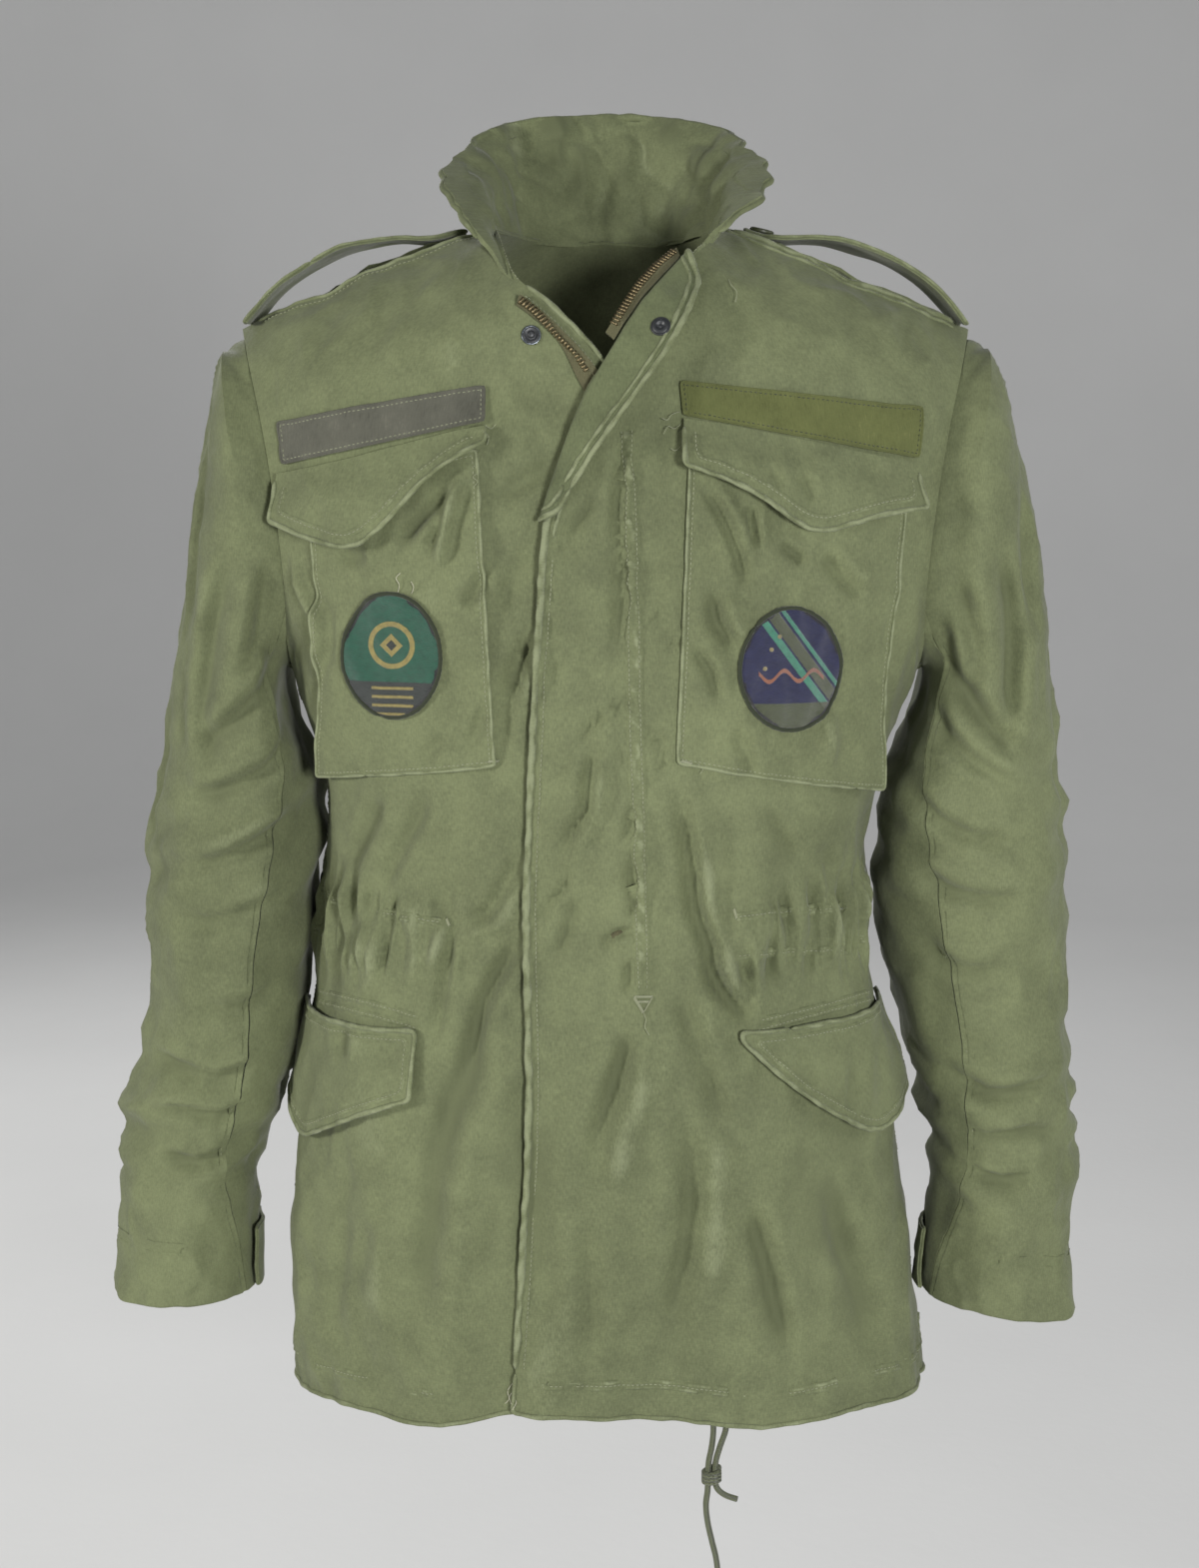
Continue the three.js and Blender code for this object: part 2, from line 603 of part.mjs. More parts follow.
function bodyNormal( turn, z ) {

	const here = bodyBase( turn, z );
	const top = ridge( Math.abs( here.x ) );

	if ( top - z < 0.01 ) {

		const slope = ridge( Math.abs( here.x ) + 1 ) - top;
		return new THREE.Vector3( - slope * Math.sign( here.x ), 0, 1 ).normalize();

	}

	const step = Math.min( 1, ( top - z ) / 2 );
	const across = bodyBase( turn + 0.01, z ).sub( bodyBase( turn - 0.01, z ) );
	const down = bodyBase( turn, z - step ).sub( bodyBase( turn, z + step ) );
	return new THREE.Vector3().crossVectors( down, across ).normalize();

}

function bodyPoint( turn, z, out ) {

	const round = ( turn + Math.PI * 2 ) % ( Math.PI * 2 );
	const near = round > Math.PI * 1.4 ? round - Math.PI * 2 : round;
	const height = foldHeight( bodyFolds, near * BODY_GIRTH_PER_RADIAN, z );
	const normal = bodyNormal( turn, z );
	return { p: bodyBase( turn, z ).addScaledVector( normal, height + out ), n: normal };

}

// Turn of the front of the body at a distance from the middle

function frontTurn( x, z ) {

	const width = x > 0 ? bodyLeft( z ) : bodyRight( z );
	const q = Math.min( Math.abs( x ) / width, 1 );
	const rest = ( 1 - q ** BODY_SQUARENESS ) ** ( 1 / BODY_SQUARENESS );
	return Math.sign( x ) * Math.atan2( q, rest );

}

// The over front stands out and the under front lies back where they overlap

function overlapShift( side, x, z ) {

	if ( side > 0 ) return FLAP_RAISE * smooth( 30, 10, x ) * smooth( - 45, - 90, z );
	return - UNDER_SET_BACK * smooth( - 68, - 50, x ) * smooth( - 55, - 90, z );

}

function frontPoint( side, turn, z, out ) {

	return bodyPoint( turn, z, out + overlapShift( side, bodyX( turn, z ), z ) );

}

// A closed wall of cloth through rows of points: each has its place s along the row, p and normal n.
// Thickness t may differ from point to point, and borders are pulled in to leave the seam gap.

function addCloth( name, colour, rows, options = {} ) {

	const thick = options.thick ?? WALL;
	const pull = options.pull ?? 0;
	const positions = [];
	const faces = [];
	const outer = [];
	const inner = [];

	function add( point ) {

		positions.push( point.x, point.y, point.z );
		return positions.length / 3 - 1;

	}

	rows.forEach( ( row, j ) => {

		const outerRow = [];
		const innerRow = [];

		row.forEach( ( point, i ) => {

			const place = point.p.clone();
			const towards = [];
			if ( i === 0 ) towards.push( row[ 1 ].p );
			if ( i === row.length - 1 ) towards.push( row[ i - 1 ].p );
			if ( j === 0 ) towards.push( nearest( rows[ 1 ], point.s ).p );
			if ( j === rows.length - 1 ) towards.push( nearest( rows[ j - 1 ], point.s ).p );

			for ( const target of towards ) {

				const way = target.clone().sub( point.p );
				way.addScaledVector( point.n, - way.dot( point.n ) );
				place.addScaledVector( way.normalize(), pull );

			}

			const half = ( point.t ?? thick ) / 2;
			outerRow.push( add( place.clone().addScaledVector( point.n, half ) ) );
			innerRow.push( add( place.clone().addScaledVector( point.n, - half ) ) );

		} );

		outer.push( outerRow );
		inner.push( innerRow );

	} );

	function quad( a, b, c, d ) {

		faces.push( a, b, c, a, c, d );

	}

	for ( let j = 0; j < rows.length - 1; j ++ ) {

		ladder( rows[ j ], rows[ j + 1 ], ( a, b, c ) => {

			const pick = ( set ) => [ a, b, c ].map( ( corner ) => set[ j + corner.row ][ corner.i ] );
			faces.push( ...pick( outer ) );
			faces.push( ...pick( inner ).reverse() );

		} );

		const endA = rows[ j ].length - 1;
		const endB = rows[ j + 1 ].length - 1;
		quad( inner[ j ][ 0 ], inner[ j + 1 ][ 0 ], outer[ j + 1 ][ 0 ], outer[ j ][ 0 ] );
		quad( inner[ j ][ endA ], outer[ j ][ endA ], outer[ j + 1 ][ endB ], inner[ j + 1 ][ endB ] );

	}

	const end = rows.length - 1;

	for ( let i = 0; i < rows[ 0 ].length - 1; i ++ ) {

		quad( inner[ 0 ][ i ], outer[ 0 ][ i ], outer[ 0 ][ i + 1 ], inner[ 0 ][ i + 1 ] );

	}

	for ( let i = 0; i < rows[ end ].length - 1; i ++ ) {

		quad( outer[ end ][ i ], inner[ end ][ i ], inner[ end ][ i + 1 ], outer[ end ][ i + 1 ] );

	}

	if ( enclosedVolume( positions, faces ) < 0 ) faces.reverse();
	const geometry = new THREE.BufferGeometry();
	geometry.setAttribute( 'position', new THREE.Float32BufferAttribute( positions, 3 ) );
	geometry.setIndex( faces );
	return addMesh( name, geometry, colour, 0.85, 0 );

}

function nearest( row, s ) {

	return row.reduce( ( best, point ) => Math.abs( point.s - s ) < Math.abs( best.s - s ) ? point : best );

}

// Fills the strip between two rows that may hold different numbers of points

function ladder( top, bottom, addTriangle ) {

	let a = 0;
	let b = 0;

	while ( a < top.length - 1 || b < bottom.length - 1 ) {

		const stepTop = b === bottom.length - 1
			|| ( a < top.length - 1 && top[ a + 1 ].s + top[ a ].s <= bottom[ b + 1 ].s + bottom[ b ].s );

		if ( stepTop ) {

			addTriangle( { row: 0, i: a }, { row: 1, i: b }, { row: 0, i: a + 1 } );
			a ++;

		} else {

			addTriangle( { row: 0, i: a }, { row: 1, i: b }, { row: 1, i: b + 1 } );
			b ++;

		}

	}

}

function enclosedVolume( positions, faces ) {

	const corner = ( k ) => new THREE.Vector3().fromArray( positions, faces[ k ] * 3 );
	let sum = 0;

	for ( let k = 0; k < faces.length; k += 3 ) {

		sum += corner( k ).dot( corner( k + 1 ).cross( corner( k + 2 ) ) );

	}

	return sum;

}

function addMesh( name, geometry, colour, roughness, metalness ) {

	const material = new THREE.MeshStandardMaterial( { color: colour, roughness, metalness } );
	const mesh = new THREE.Mesh( geometry, material );
	mesh.name = name;
	group.add( mesh );
	return mesh;

}

// Normals of a regular grid, worked out from the neighbours; given ones are kept

function withNormals( rows ) {

	return rows.map( ( row, j ) => row.map( ( point, i ) => {

		if ( point.n ) return point;
		const left = row[ Math.max( i - 1, 0 ) ].p;
		const right = row[ Math.min( i + 1, row.length - 1 ) ].p;
		const up = rows[ Math.max( j - 1, 0 ) ][ i ].p;
		const down = rows[ Math.min( j + 1, rows.length - 1 ) ][ i ].p;
		const across = right.clone().sub( left );
		const rise = up.clone().sub( down );
		const n = new THREE.Vector3().crossVectors( across, rise ).normalize();
		return { ...point, n };

	} ) );

}

// Rows of the two fronts

const armhole = {
	frontX: reader( FRONT_ARMHOLE, 'row', 'x' ),
	frontZ: reader( FRONT_ARMHOLE, 'row', 'z' ),
	backX: reader( BACK_ARMHOLE, 'row', 'x' ),
	backZ: reader( BACK_ARMHOLE, 'row', 'z' ),
};

const edges = {
	left: {
		x: reader( LEFT_EDGE, 'row', 'x' ),
		z: reader( LEFT_EDGE, 'row', 'z' ),
		below: reader( LEFT_EDGE_BELOW, 'z', 'x' ),
	},
	right: {
		x: reader( RIGHT_EDGE, 'row', 'x' ),
		z: reader( RIGHT_EDGE, 'row', 'z' ),
		below: reader( RIGHT_EDGE_BELOW, 'z', 'x' ),
	},
};

function wearerSide( side ) {

	return side > 0 ? 'left' : 'right';

}

// Places along a row, split more finely where the waist cord gathers the cloth

function rowPlaces( columns, fine, turnAt ) {

	const places = [];

	for ( let i = 0; i <= columns; i ++ ) {

		places.push( { s: i / columns, gather: 0 } );
		if ( ! fine || i === columns ) continue;
		const middle = turnAt( ( i + 0.5 ) / columns );
		if ( Math.abs( middle ) < radians( GATHER_START ) ) continue;

		for ( let k = 1; k < GATHER_SPLIT; k ++ ) {

			const sign = ( i * ( GATHER_SPLIT - 1 ) + k ) % 2 === 0 ? 1 : - 1;
			places.push( { s: ( i + k / GATHER_SPLIT ) / columns, gather: sign * GATHER_DEPTH } );

		}

	}

	return places;

}

function frontRow( side, inX, inZ, outX, outZ, fine, hem ) {

	const turnIn = frontTurn( inX, inZ );
	const turnOut = outX === null ? side * Math.PI / 2 : frontTurn( outX, outZ );
	const farX = outX ?? bodyX( turnOut, outZ );
	const turnAt = ( s ) => mix( turnIn, turnOut, s );

	return rowPlaces( FRONT_COLUMNS, fine, turnAt ).map( ( place ) => {

		const turn = turnAt( place.s );
		let z = mix( inZ, outZ, place.s );

		for ( let round = 0; round < 5; round ++ ) {

			z = mix( inZ, outZ, ( bodyX( turn, z ) - inX ) / ( farX - inX ) );

		}

		if ( hem ) z = hemHeight( bodyX( turn, z ) );
		return { s: place.s, ...frontPoint( side, turn, z, place.gather ) };

	} );

}

function addFront( side ) {

	const edge = edges[ wearerSide( side ) ];
	const rows = [];

	for ( let row = 0; row <= ARMHOLE_ROWS; row ++ ) {

		const outX = row === ARMHOLE_ROWS ? null : side * armhole.frontX( row );
		rows.push( frontRow( side, edge.x( row ), edge.z( row ), outX, armhole.frontZ( row ), false, false ) );

	}

	for ( const row of LOWER_ROWS ) {

		const edgeZ = row.hem ? hemHeight( edge.below( row.edge ) ) : row.edge;
		const sideZ = row.hem ? hemHeight( bodyX( side * Math.PI / 2, row.side ) ) : row.side;
		rows.push( frontRow( side, edge.below( row.edge ), edgeZ, null, sideZ, row.fine, row.hem ) );

	}

	addCloth( `front_${ wearerSide( side ) }`, COLOURS.cloth, rows, { pull: SEAM_GAP / 2 } );

}

// Back, in one piece from armhole to armhole

function backTop( x ) {

	return x < NECK_HALF ? backNeck( x ) : ridge( x );

}

function backTurn( x, z, side ) {

	return side * ( Math.PI - Math.abs( frontTurn( side * x, z ) ) );

}

// One half of a row of the back, from the middle to one side

function backHalfRow( side, row, turnOut, heightAt, fine ) {

	const neckTurn = backTurn( NECK_HALF, 0, side );
	const shoulderTurn = backTurn( SHOULDER_HALF, armhole.backZ( 0 ), side );
	const start = side * Math.PI;
	const neckPart = ( neckTurn - start ) / ( shoulderTurn - start );
	const even = smooth( 0, 6, row );

	const bend = ( s ) => {

		const corner = BACK_NECK_COLUMNS / BACK_HALF_COLUMNS;
		const bent = s < corner ? s / corner * neckPart : mix( neckPart, 1, ( s - corner ) / ( 1 - corner ) );
		return mix( bent, s, even );

	};

	const turnAt = ( s ) => mix( start, turnOut, bend( s ) );

	return rowPlaces( BACK_HALF_COLUMNS, fine, turnAt ).map( ( place ) => {

		const turn = turnAt( place.s );
		let z = heightAt( place.s, Math.abs( bodyX( turn, - 100 ) ) );

		for ( let round = 0; round < 5; round ++ ) {

			z = heightAt( place.s, Math.abs( bodyX( turn, z ) ) );

		}

		return { s: side * place.s, ...bodyPoint( turn, z, place.gather ) };

	} );

}

function addBack() {

	const rows = [];

	function addRow( makeHalf ) {

		const right = makeHalf( - 1 ).reverse();
		const left = makeHalf( 1 );
		rows.push( [ ...right, ...left.slice( 1 ) ] );

	}

	for ( let row = 0; row <= ARMHOLE_ROWS; row ++ ) {

		const outX = armhole.backX( row );
		const outZ = armhole.backZ( row );
		const outPart = ( backTop( outX ) - outZ ) / ( backTop( outX ) - ARMPIT_Z );

		addRow( ( side ) => {

			const turnOut = row === ARMHOLE_ROWS ? side * Math.PI / 2 : backTurn( outX, outZ, side );

			return backHalfRow( side, row, turnOut, ( s, x ) => {

				const part = mix( row / ARMHOLE_ROWS, outPart, s );
				return mix( backTop( x ), ARMPIT_Z, part );

			}, false );

		} );

	}

	for ( const row of LOWER_ROWS ) {

		addRow( ( side ) => {

			const sideZ = row.hem ? hemHeight( side * bodyX( Math.PI / 2, row.side ) ) : row.side;
			return backHalfRow( side, ARMHOLE_ROWS, side * Math.PI / 2, () => sideZ, row.fine );

		} );

	}

	addCloth( 'back', COLOURS.cloth, rows, { pull: SEAM_GAP / 2 } );

}

// Facing of the over front, rolled out over its edge at the neck

const facingX = reader( FACING_EDGE, 'row', 'x' );
const facingY = reader( FACING_EDGE, 'row', 'y' );
const facingZ = reader( FACING_EDGE, 'row', 'z' );

function rolledEdge( row ) {

	const x = edges.left.x( row );
	const z = edges.left.z( row );
	const edge = frontPoint( 1, frontTurn( x, z ), z, 0 );
	const free = new THREE.Vector3( facingX( row ), facingY( row ), facingZ( row ) );
	const way = free.clone().sub( edge.p );
	way.addScaledVector( edge.n, - way.dot( edge.n ) ).normalize();
	return { edge, free, way };

}

function addFacing() {

	const rows = [];
	const rollSteps = 4;
	const flatSteps = 3;

	for ( let row = 3; row <= 10; row += 0.5 ) {

		const { edge, free, way } = rolledEdge( row );
		const centre = edge.p.clone().addScaledVector( edge.n, ROLL_RADIUS ).addScaledVector( way, - SEAM_GAP );
		const points = [];

		for ( let k = 0; k <= rollSteps; k ++ ) {

			const angle = Math.PI * k / rollSteps;
			const n = edge.n.clone().multiplyScalar( - Math.cos( angle ) );
			n.addScaledVector( way, - Math.sin( angle ) );
			points.push( { s: k, p: centre.clone().addScaledVector( n, ROLL_RADIUS ), n } );

		}

		const top = points[ rollSteps ];

		for ( let k = 1; k <= flatSteps; k ++ ) {

			points.push( { s: rollSteps + k, p: top.p.clone().lerp( free, k / flatSteps ) } );

		}

		rows.push( points );

	}

	addCloth( 'fly_facing', COLOURS.facing, withNormals( rows ) );

}

// Collar: a base line along the neck, a top line, and rows between them

const collarTop = {
	x: reader( COLLAR_TOP, 'part', 'x' ),
	y: reader( COLLAR_TOP, 'part', 'y' ),
	z: reader( COLLAR_TOP, 'part', 'z' ),
};

// A point of the neck seam and the way on from the panel beneath it

function neckSeam( side, part ) {

	if ( part <= COLLAR_SHOULDER_PART ) {

		const place = part / COLLAR_SHOULDER_PART * BACK_NECK_COLUMNS;
		return between( ( column ) => backNeckPoint( side, column / BACK_NECK_COLUMNS ), place );

	}

	const edge = edges[ wearerSide( side ) ];
	const place = ( part - COLLAR_SHOULDER_PART ) / ( 1 - COLLAR_SHOULDER_PART ) * NECK_ROWS;

	return between( ( row ) => {

		const z = edge.z( row );
		return frontPoint( side, frontTurn( edge.x( row ), z ), z, 0 );

	}, place );

}

// A corner of the back's neck line, part 0 in the middle and 1 at the shoulder

function backNeckPoint( side, part ) {

	const turn = mix( side * Math.PI, backTurn( NECK_HALF, 0, side ), part );
	let z = 0;

	for ( let round = 0; round < 5; round ++ ) {

		z = backTop( Math.abs( bodyX( turn, z ) ) );

	}

	return bodyPoint( turn, z, 0 );

}

// A point on the straight line between two neighbouring corners

function between( cornerAt, place ) {

	const whole = Math.floor( place + 1e-6 );
	const part = place - whole;
	const a = cornerAt( whole );
	if ( part < 1e-6 ) return a;
	const b = cornerAt( whole + 1 );
	return { p: a.p.lerp( b.p, part ), n: a.n.lerp( b.n, part ).normalize() };

}

function addCollar() {

	const columns = [];
	const half = COLLAR_BACK_COLUMNS + COLLAR_FRONT_COLUMNS;

	for ( let i = - half; i <= half; i ++ ) {

		const side = i < 0 ? - 1 : 1;
		const step = Math.abs( i );
		const part = step < COLLAR_BACK_COLUMNS
			? COLLAR_SHOULDER_PART * step / COLLAR_BACK_COLUMNS
			: mix( COLLAR_SHOULDER_PART, 1, ( step - COLLAR_BACK_COLUMNS ) / COLLAR_FRONT_COLUMNS );
		const seam = neckSeam( side, part );
		const before = neckSeam( side, Math.max( part - 0.02, 0 ) ).p;
		const after = neckSeam( side, Math.min( part + 0.02, 1 ) ).p;
		const tangent = part === 0 ? new THREE.Vector3( side, 0, 0 ) : after.sub( before ).normalize();
		const onward = new THREE.Vector3().crossVectors( seam.n, tangent ).multiplyScalar( side ).normalize();
		const top = new THREE.Vector3( side * collarTop.x( part ), collarTop.y( part ), collarTop.z( part ) );
		const start = seam.p.clone().addScaledVector( onward, SEAM_GAP );
		const stand = seam.p.clone().addScaledVector( onward, 3 );

		columns.push( COLLAR_RISE.map( ( rise, k ) => {

			if ( k === 0 ) return { s: i, p: start, n: seam.n };
			const p = stand.clone().lerp( top, rise );
			p.z += 5 * Math.sin( Math.PI * rise );
			return { s: i, p };

		} ) );

	}

	const rows = COLLAR_RISE.map( ( rise, k ) => columns.map( ( column ) => column[ k ] ) );
	addCloth( 'collar', COLOURS.cloth, withNormals( rows ), { thick: COLLAR_WALL } );

}

// Sleeves

const sleeveReaders = {};

for ( const [ side, table ] of [ [ 'left', SLEEVE_LEFT ], [ 'right', SLEEVE_RIGHT ] ] ) {

	sleeveReaders[ side ] = {};

	for ( const column of [ 'outX', 'outZ', 'inX', 'inZ', 'depth', 'y', 'front', 'back' ] ) {

		sleeveReaders[ side ][ column ] = reader( table, 'ring', column );

	}

}

function sleeveFolds( side ) {

	return SLEEVE_FOLDS.filter( ( fold ) => fold.side === side ).map( ( fold ) => ( {
		u1: radians( fold.turn1 ) * SLEEVE_GIRTH_PER_RADIAN,
		u2: radians( fold.turn2 ) * SLEEVE_GIRTH_PER_RADIAN,
		v1: fold.ring1 * SLEEVE_RING_STEP,
		v2: fold.ring2 * SLEEVE_RING_STEP,
		width: fold.width,
		rise: fold.rise,
	} ) );

}

function sleeveBase( side, ring, turn ) {

	const read = sleeveReaders[ wearerSide( side ) ];
	const r = squareRadius( turn, SLEEVE_SQUARENESS );
	const along = Math.cos( turn ) * r;
	const forward = Math.sin( turn ) * r;
	const midX = ( read.outX( ring ) + read.inX( ring ) ) / 2;
	const midZ = ( read.outZ( ring ) + read.inZ( ring ) ) / 2;
	const armX = ( read.outX( ring ) - read.inX( ring ) ) / 2;
	const armZ = ( read.outZ( ring ) - read.inZ( ring ) ) / 2;
	const x = side * ( midX + armX * along );
	const y = read.y( ring ) - read.depth( ring ) * forward;
	return new THREE.Vector3( x, y, midZ + armZ * along );

}

function sleevePoint( side, ring, turn, out ) {

	const across = sleeveBase( side, ring, turn + 0.02 ).sub( sleeveBase( side, ring, turn - 0.02 ) );
	const above = sleeveBase( side, Math.max( ring - 0.1, 1 ), turn );
	const down = sleeveBase( side, ring + 0.1, turn ).sub( above );
	const n = new THREE.Vector3().crossVectors( across, down ).multiplyScalar( side ).normalize();
	const round = ( turn + Math.PI * 2 ) % ( Math.PI * 2 );
	const girth = round * SLEEVE_GIRTH_PER_RADIAN;
	const height = foldHeight( sleeveFolds( side ), girth, ring * SLEEVE_RING_STEP );
	return { p: sleeveBase( side, ring, turn ).addScaledVector( n, height + out ), n };

}

// A point of the armhole: rows count down from the shoulder tip, at the front or at the back

function armholePoint( side, row, atBack ) {

	if ( row === ARMHOLE_ROWS ) return bodyPoint( side * Math.PI / 2, ARMPIT_Z, 0 );
	const x = atBack ? armhole.backX( row ) : armhole.frontX( row );
	const z = atBack ? armhole.backZ( row ) : armhole.frontZ( row );
	const turn = atBack ? backTurn( x, z, side ) : frontTurn( side * x, z );
	return bodyPoint( turn, z, 0 );

}

const FRONT_SEAM_ROW = 8;
const BACK_SEAM_ROW = 6;

function addSleeve( side ) {

	const name = wearerSide( side );
	const read = sleeveReaders[ name ];
	const top = [];
	const under = [];

	for ( let row = BACK_SEAM_ROW; row > 0; row -- ) {

		top.push( armholePoint( side, row, true ) );

	}

	for ( let row = 0; row <= ARMHOLE_ROWS; row ++ ) {

		if ( row <= FRONT_SEAM_ROW ) top.push( armholePoint( side, row, false ) );
		if ( row >= FRONT_SEAM_ROW ) under.push( armholePoint( side, row, false ) );

	}

	for ( let row = ARMHOLE_ROWS - 1; row >= BACK_SEAM_ROW; row -- ) {

		under.push( armholePoint( side, row, true ) );

	}

	const panels = [
		{ label: 'top', start: top, from: ( ring ) => read.back( ring ) - 360, to: read.front },
		{ label: 'under', start: under, from: read.front, to: read.back },
	];

	for ( const panel of panels ) {

		const columns = panel.start.length - 1;
		const rows = [ panel.start.map( ( point, i ) => ( { s: i / columns, ...point } ) ) ];

		for ( let ring = 1; ring <= SLEEVE_RINGS; ring ++ ) {

			rows.push( panel.start.map( ( point, i ) => {

				const s = i / columns;
				const turn = radians( mix( panel.from( ring ), panel.to( ring ), s ) );
				return { s, ...sleevePoint( side, ring, turn, 0 ) };

			} ) );

		}

		addCloth( `sleeve_${ panel.label }_${ name }`, COLOURS.cloth, rows, { pull: SEAM_GAP } );

	}

}

// Closing tab of a cuff, round the inner side of the sleeve

function addCuffTab( side ) {

	const rows = [];
	const rest = WALL / 2 + REST_GAP + WALL / 2;

	for ( let j = 0; j <= 3; j ++ ) {

		const ring = mix( CUFF_TAB.fromRing, CUFF_TAB.toRing, j / 3 );
		const row = [];

		for ( let i = 0; i <= 6; i ++ ) {

			const turn = radians( mix( CUFF_TAB.fromTurn, CUFF_TAB.toTurn, i / 6 ) );
			const lift = CUFF_TAB.lift * smooth( 3, 0, i );
			row.push( { s: i, ...sleevePoint( side, ring, turn, rest + lift ) } );

		}

		rows.push( row );

	}

	addCloth( `cuff_tab_${ wearerSide( side ) }`, COLOURS.cloth, rows );

}

// Pieces that lie on the fronts: a grid between corners, moved out from the front's own surface

function cornerGrid( side, corners, columns, lines, outAt ) {

	const rows = [];

	for ( let j = 0; j <= lines; j ++ ) {

		const row = [];

		for ( let i = 0; i <= columns; i ++ ) {

			const u = i / columns;
			const v = j / lines;
			const x = mix( mix( corners.in1X, corners.out1X, u ), mix( corners.in2X, corners.out2X, u ), v );
			const z = mix( mix( corners.in1Z, corners.out1Z, u ), mix( corners.in2Z, corners.out2Z, u ), v );
			row.push( { s: u, ...frontPoint( side, frontTurn( side * x, z ), z, outAt( u, v, x, z ) ) } );

		}

		rows.push( row );

	}

	return rows;

}

// How far a chest pocket stands out: a slight belly, and the lower outer corner hangs away

function pocketOut( u, v ) {

	const belly = POCKET_BELLY * Math.sin( Math.PI * u ) * Math.sin( Math.PI * v );
	const corner = POCKET_CORNER * smooth( 0.72, 1, u ) * smooth( 0.55, 1, v );
	return WALL / 2 + REST_GAP + POCKET_WALL / 2 + belly + corner;

}

function addChestPocket( side ) {

	const name = wearerSide( side );
	const rows = cornerGrid( side, CHEST_POCKET[ name ], 8, 9, pocketOut );
	addCloth( `chest_pocket_${ name }`, COLOURS.cloth, rows, { thick: POCKET_WALL } );

}

function addChestFlap( side ) {

	const name = wearerSide( side );
	const table = CHEST_FLAP[ name ];
	const top = reader( table, 'x', 'top' );
	const bottom = reader( table, 'x', 'bottom' );
	const columns = 14;
	const rows = [];

	for ( const v of [ 0, 0.25, 0.5, 0.75, 1 ] ) {

		const row = [];

		for ( let i = 0; i <= columns; i ++ ) {

			const x = mix( table[ 0 ].x, table[ table.length - 1 ].x, i / columns );
			const z = mix( top( x ), bottom( x ), v );
			const reach = ( top( x ) - z ) / 60;
			const out = WALL + REST_GAP + CHEST_FLAP_LIFT * smooth( 0, 0.5, reach ) + 2 * v;
			row.push( { s: i, ...frontPoint( side, frontTurn( side * x, z ), z, out ) } );

		}

		rows.push( row );

	}

	addCloth( `chest_flap_${ name }`, COLOURS.cloth, rows );

}

function addHipFlap( side ) {

	const name = wearerSide( side );
	const table = HIP_FLAP[ name ];
	const top = reader( table, 'turn', 'top' );
	const bottom = reader( table, 'turn', 'bottom' );
	const columns = 12;
	const rows = [];

	for ( const v of [ 0, 0.2, 0.45, 0.7, 1 ] ) {

		const row = [];

		for ( let i = 0; i <= columns; i ++ ) {

			const degrees = mix( table[ 0 ].turn, table[ table.length - 1 ].turn, i / columns );
			const z = mix( top( degrees ), bottom( degrees ), v );
			const reach = ( top( degrees ) - z ) / 70;
			const out = WALL + REST_GAP + HIP_FLAP_LIFT * smooth( 0, 0.9, reach );
			row.push( { s: i, ...bodyPoint( side * radians( degrees ), z, out ) } );

		}

		rows.push( row );

	}

	addCloth( `hip_flap_${ name }`, COLOURS.cloth, rows );

}

function addTape( side ) {

	const name = wearerSide( side );
	const out = WALL / 2 + REST_GAP + TRIM_WALL / 2;
	const rows = cornerGrid( side, TAPE[ name ], 10, 2, () => out );
	addCloth( `tape_${ name }`, side > 0 ? COLOURS.tapeOlive : COLOURS.tapeGrey, rows, { thick: TRIM_WALL } );

}

// A patch with a round outline on a chest pocket: a square grid bowed out to an oval

function addPatch( side ) {

	const name = wearerSide( side );
	const patch = PATCH[ name ];
	const corners = CHEST_POCKET[ name ];
	const steps = 6;
	const rows = [];

	for ( let j = 0; j <= steps; j ++ ) {

		const row = [];

		for ( let i = 0; i <= steps; i ++ ) {

			const a = 2 * i / steps - 1;
			const b = 1 - 2 * j / steps;
			const x = patch.x + patch.halfWidth * a * Math.sqrt( 1 - b * b / 2 );
			const z = patch.z + patch.halfHeight * b * Math.sqrt( 1 - a * a / 2 );
			const u = ( x - corners.in1X ) / ( corners.out1X - corners.in1X );
			const v = ( corners.in1Z - z ) / ( corners.in1Z - corners.in2Z );
			const rest = POCKET_WALL / 2 + 0.9 + TRIM_WALL / 2;
			const out = pocketOut( u, v - 0.12 * u ) + rest;
			row.push( { s: i, ...frontPoint( side, frontTurn( side * x, z ), z, out ) } );

		}

		rows.push( row );

	}

	const colour = side > 0 ? COLOURS.patchNavy : COLOURS.patchGreen;
	addCloth( `patch_${ name }`, colour, rows, { thick: TRIM_WALL } );

}

// Shoulder loops, sewn in at the armhole and buttoned near the collar

const epauletLift = reader( EPAULET.rows, 'x', 'lift' );

function epauletPoint( side, x, y ) {

	const sag = y * y / ( 2 * SHOULDER_ROUND * 4 );
	return new THREE.Vector3( side * x, y, ridge( x ) + epauletLift( x ) - sag );

}

function addEpaulet( side ) {

	const rows = [];

	for ( let j = 0; j <= 4; j ++ ) {

		const across = j / 2 - 1;

		rows.push( EPAULET.stations.map( ( x, i ) => {

			const taper = Math.min( ( x - EPAULET.tipX + 5 ) / ( EPAULET.tipLength + 5 ), 1 );
			return { s: i, p: epauletPoint( side, x, across * EPAULET.halfWidth * taper ) };

		} ) );

	}

	addCloth( `epaulet_${ wearerSide( side ) }`, COLOURS.cloth, withNormals( rows ) );

}

// A turned button or snap: a closed profile spun about its axis, laid along a surface's normal

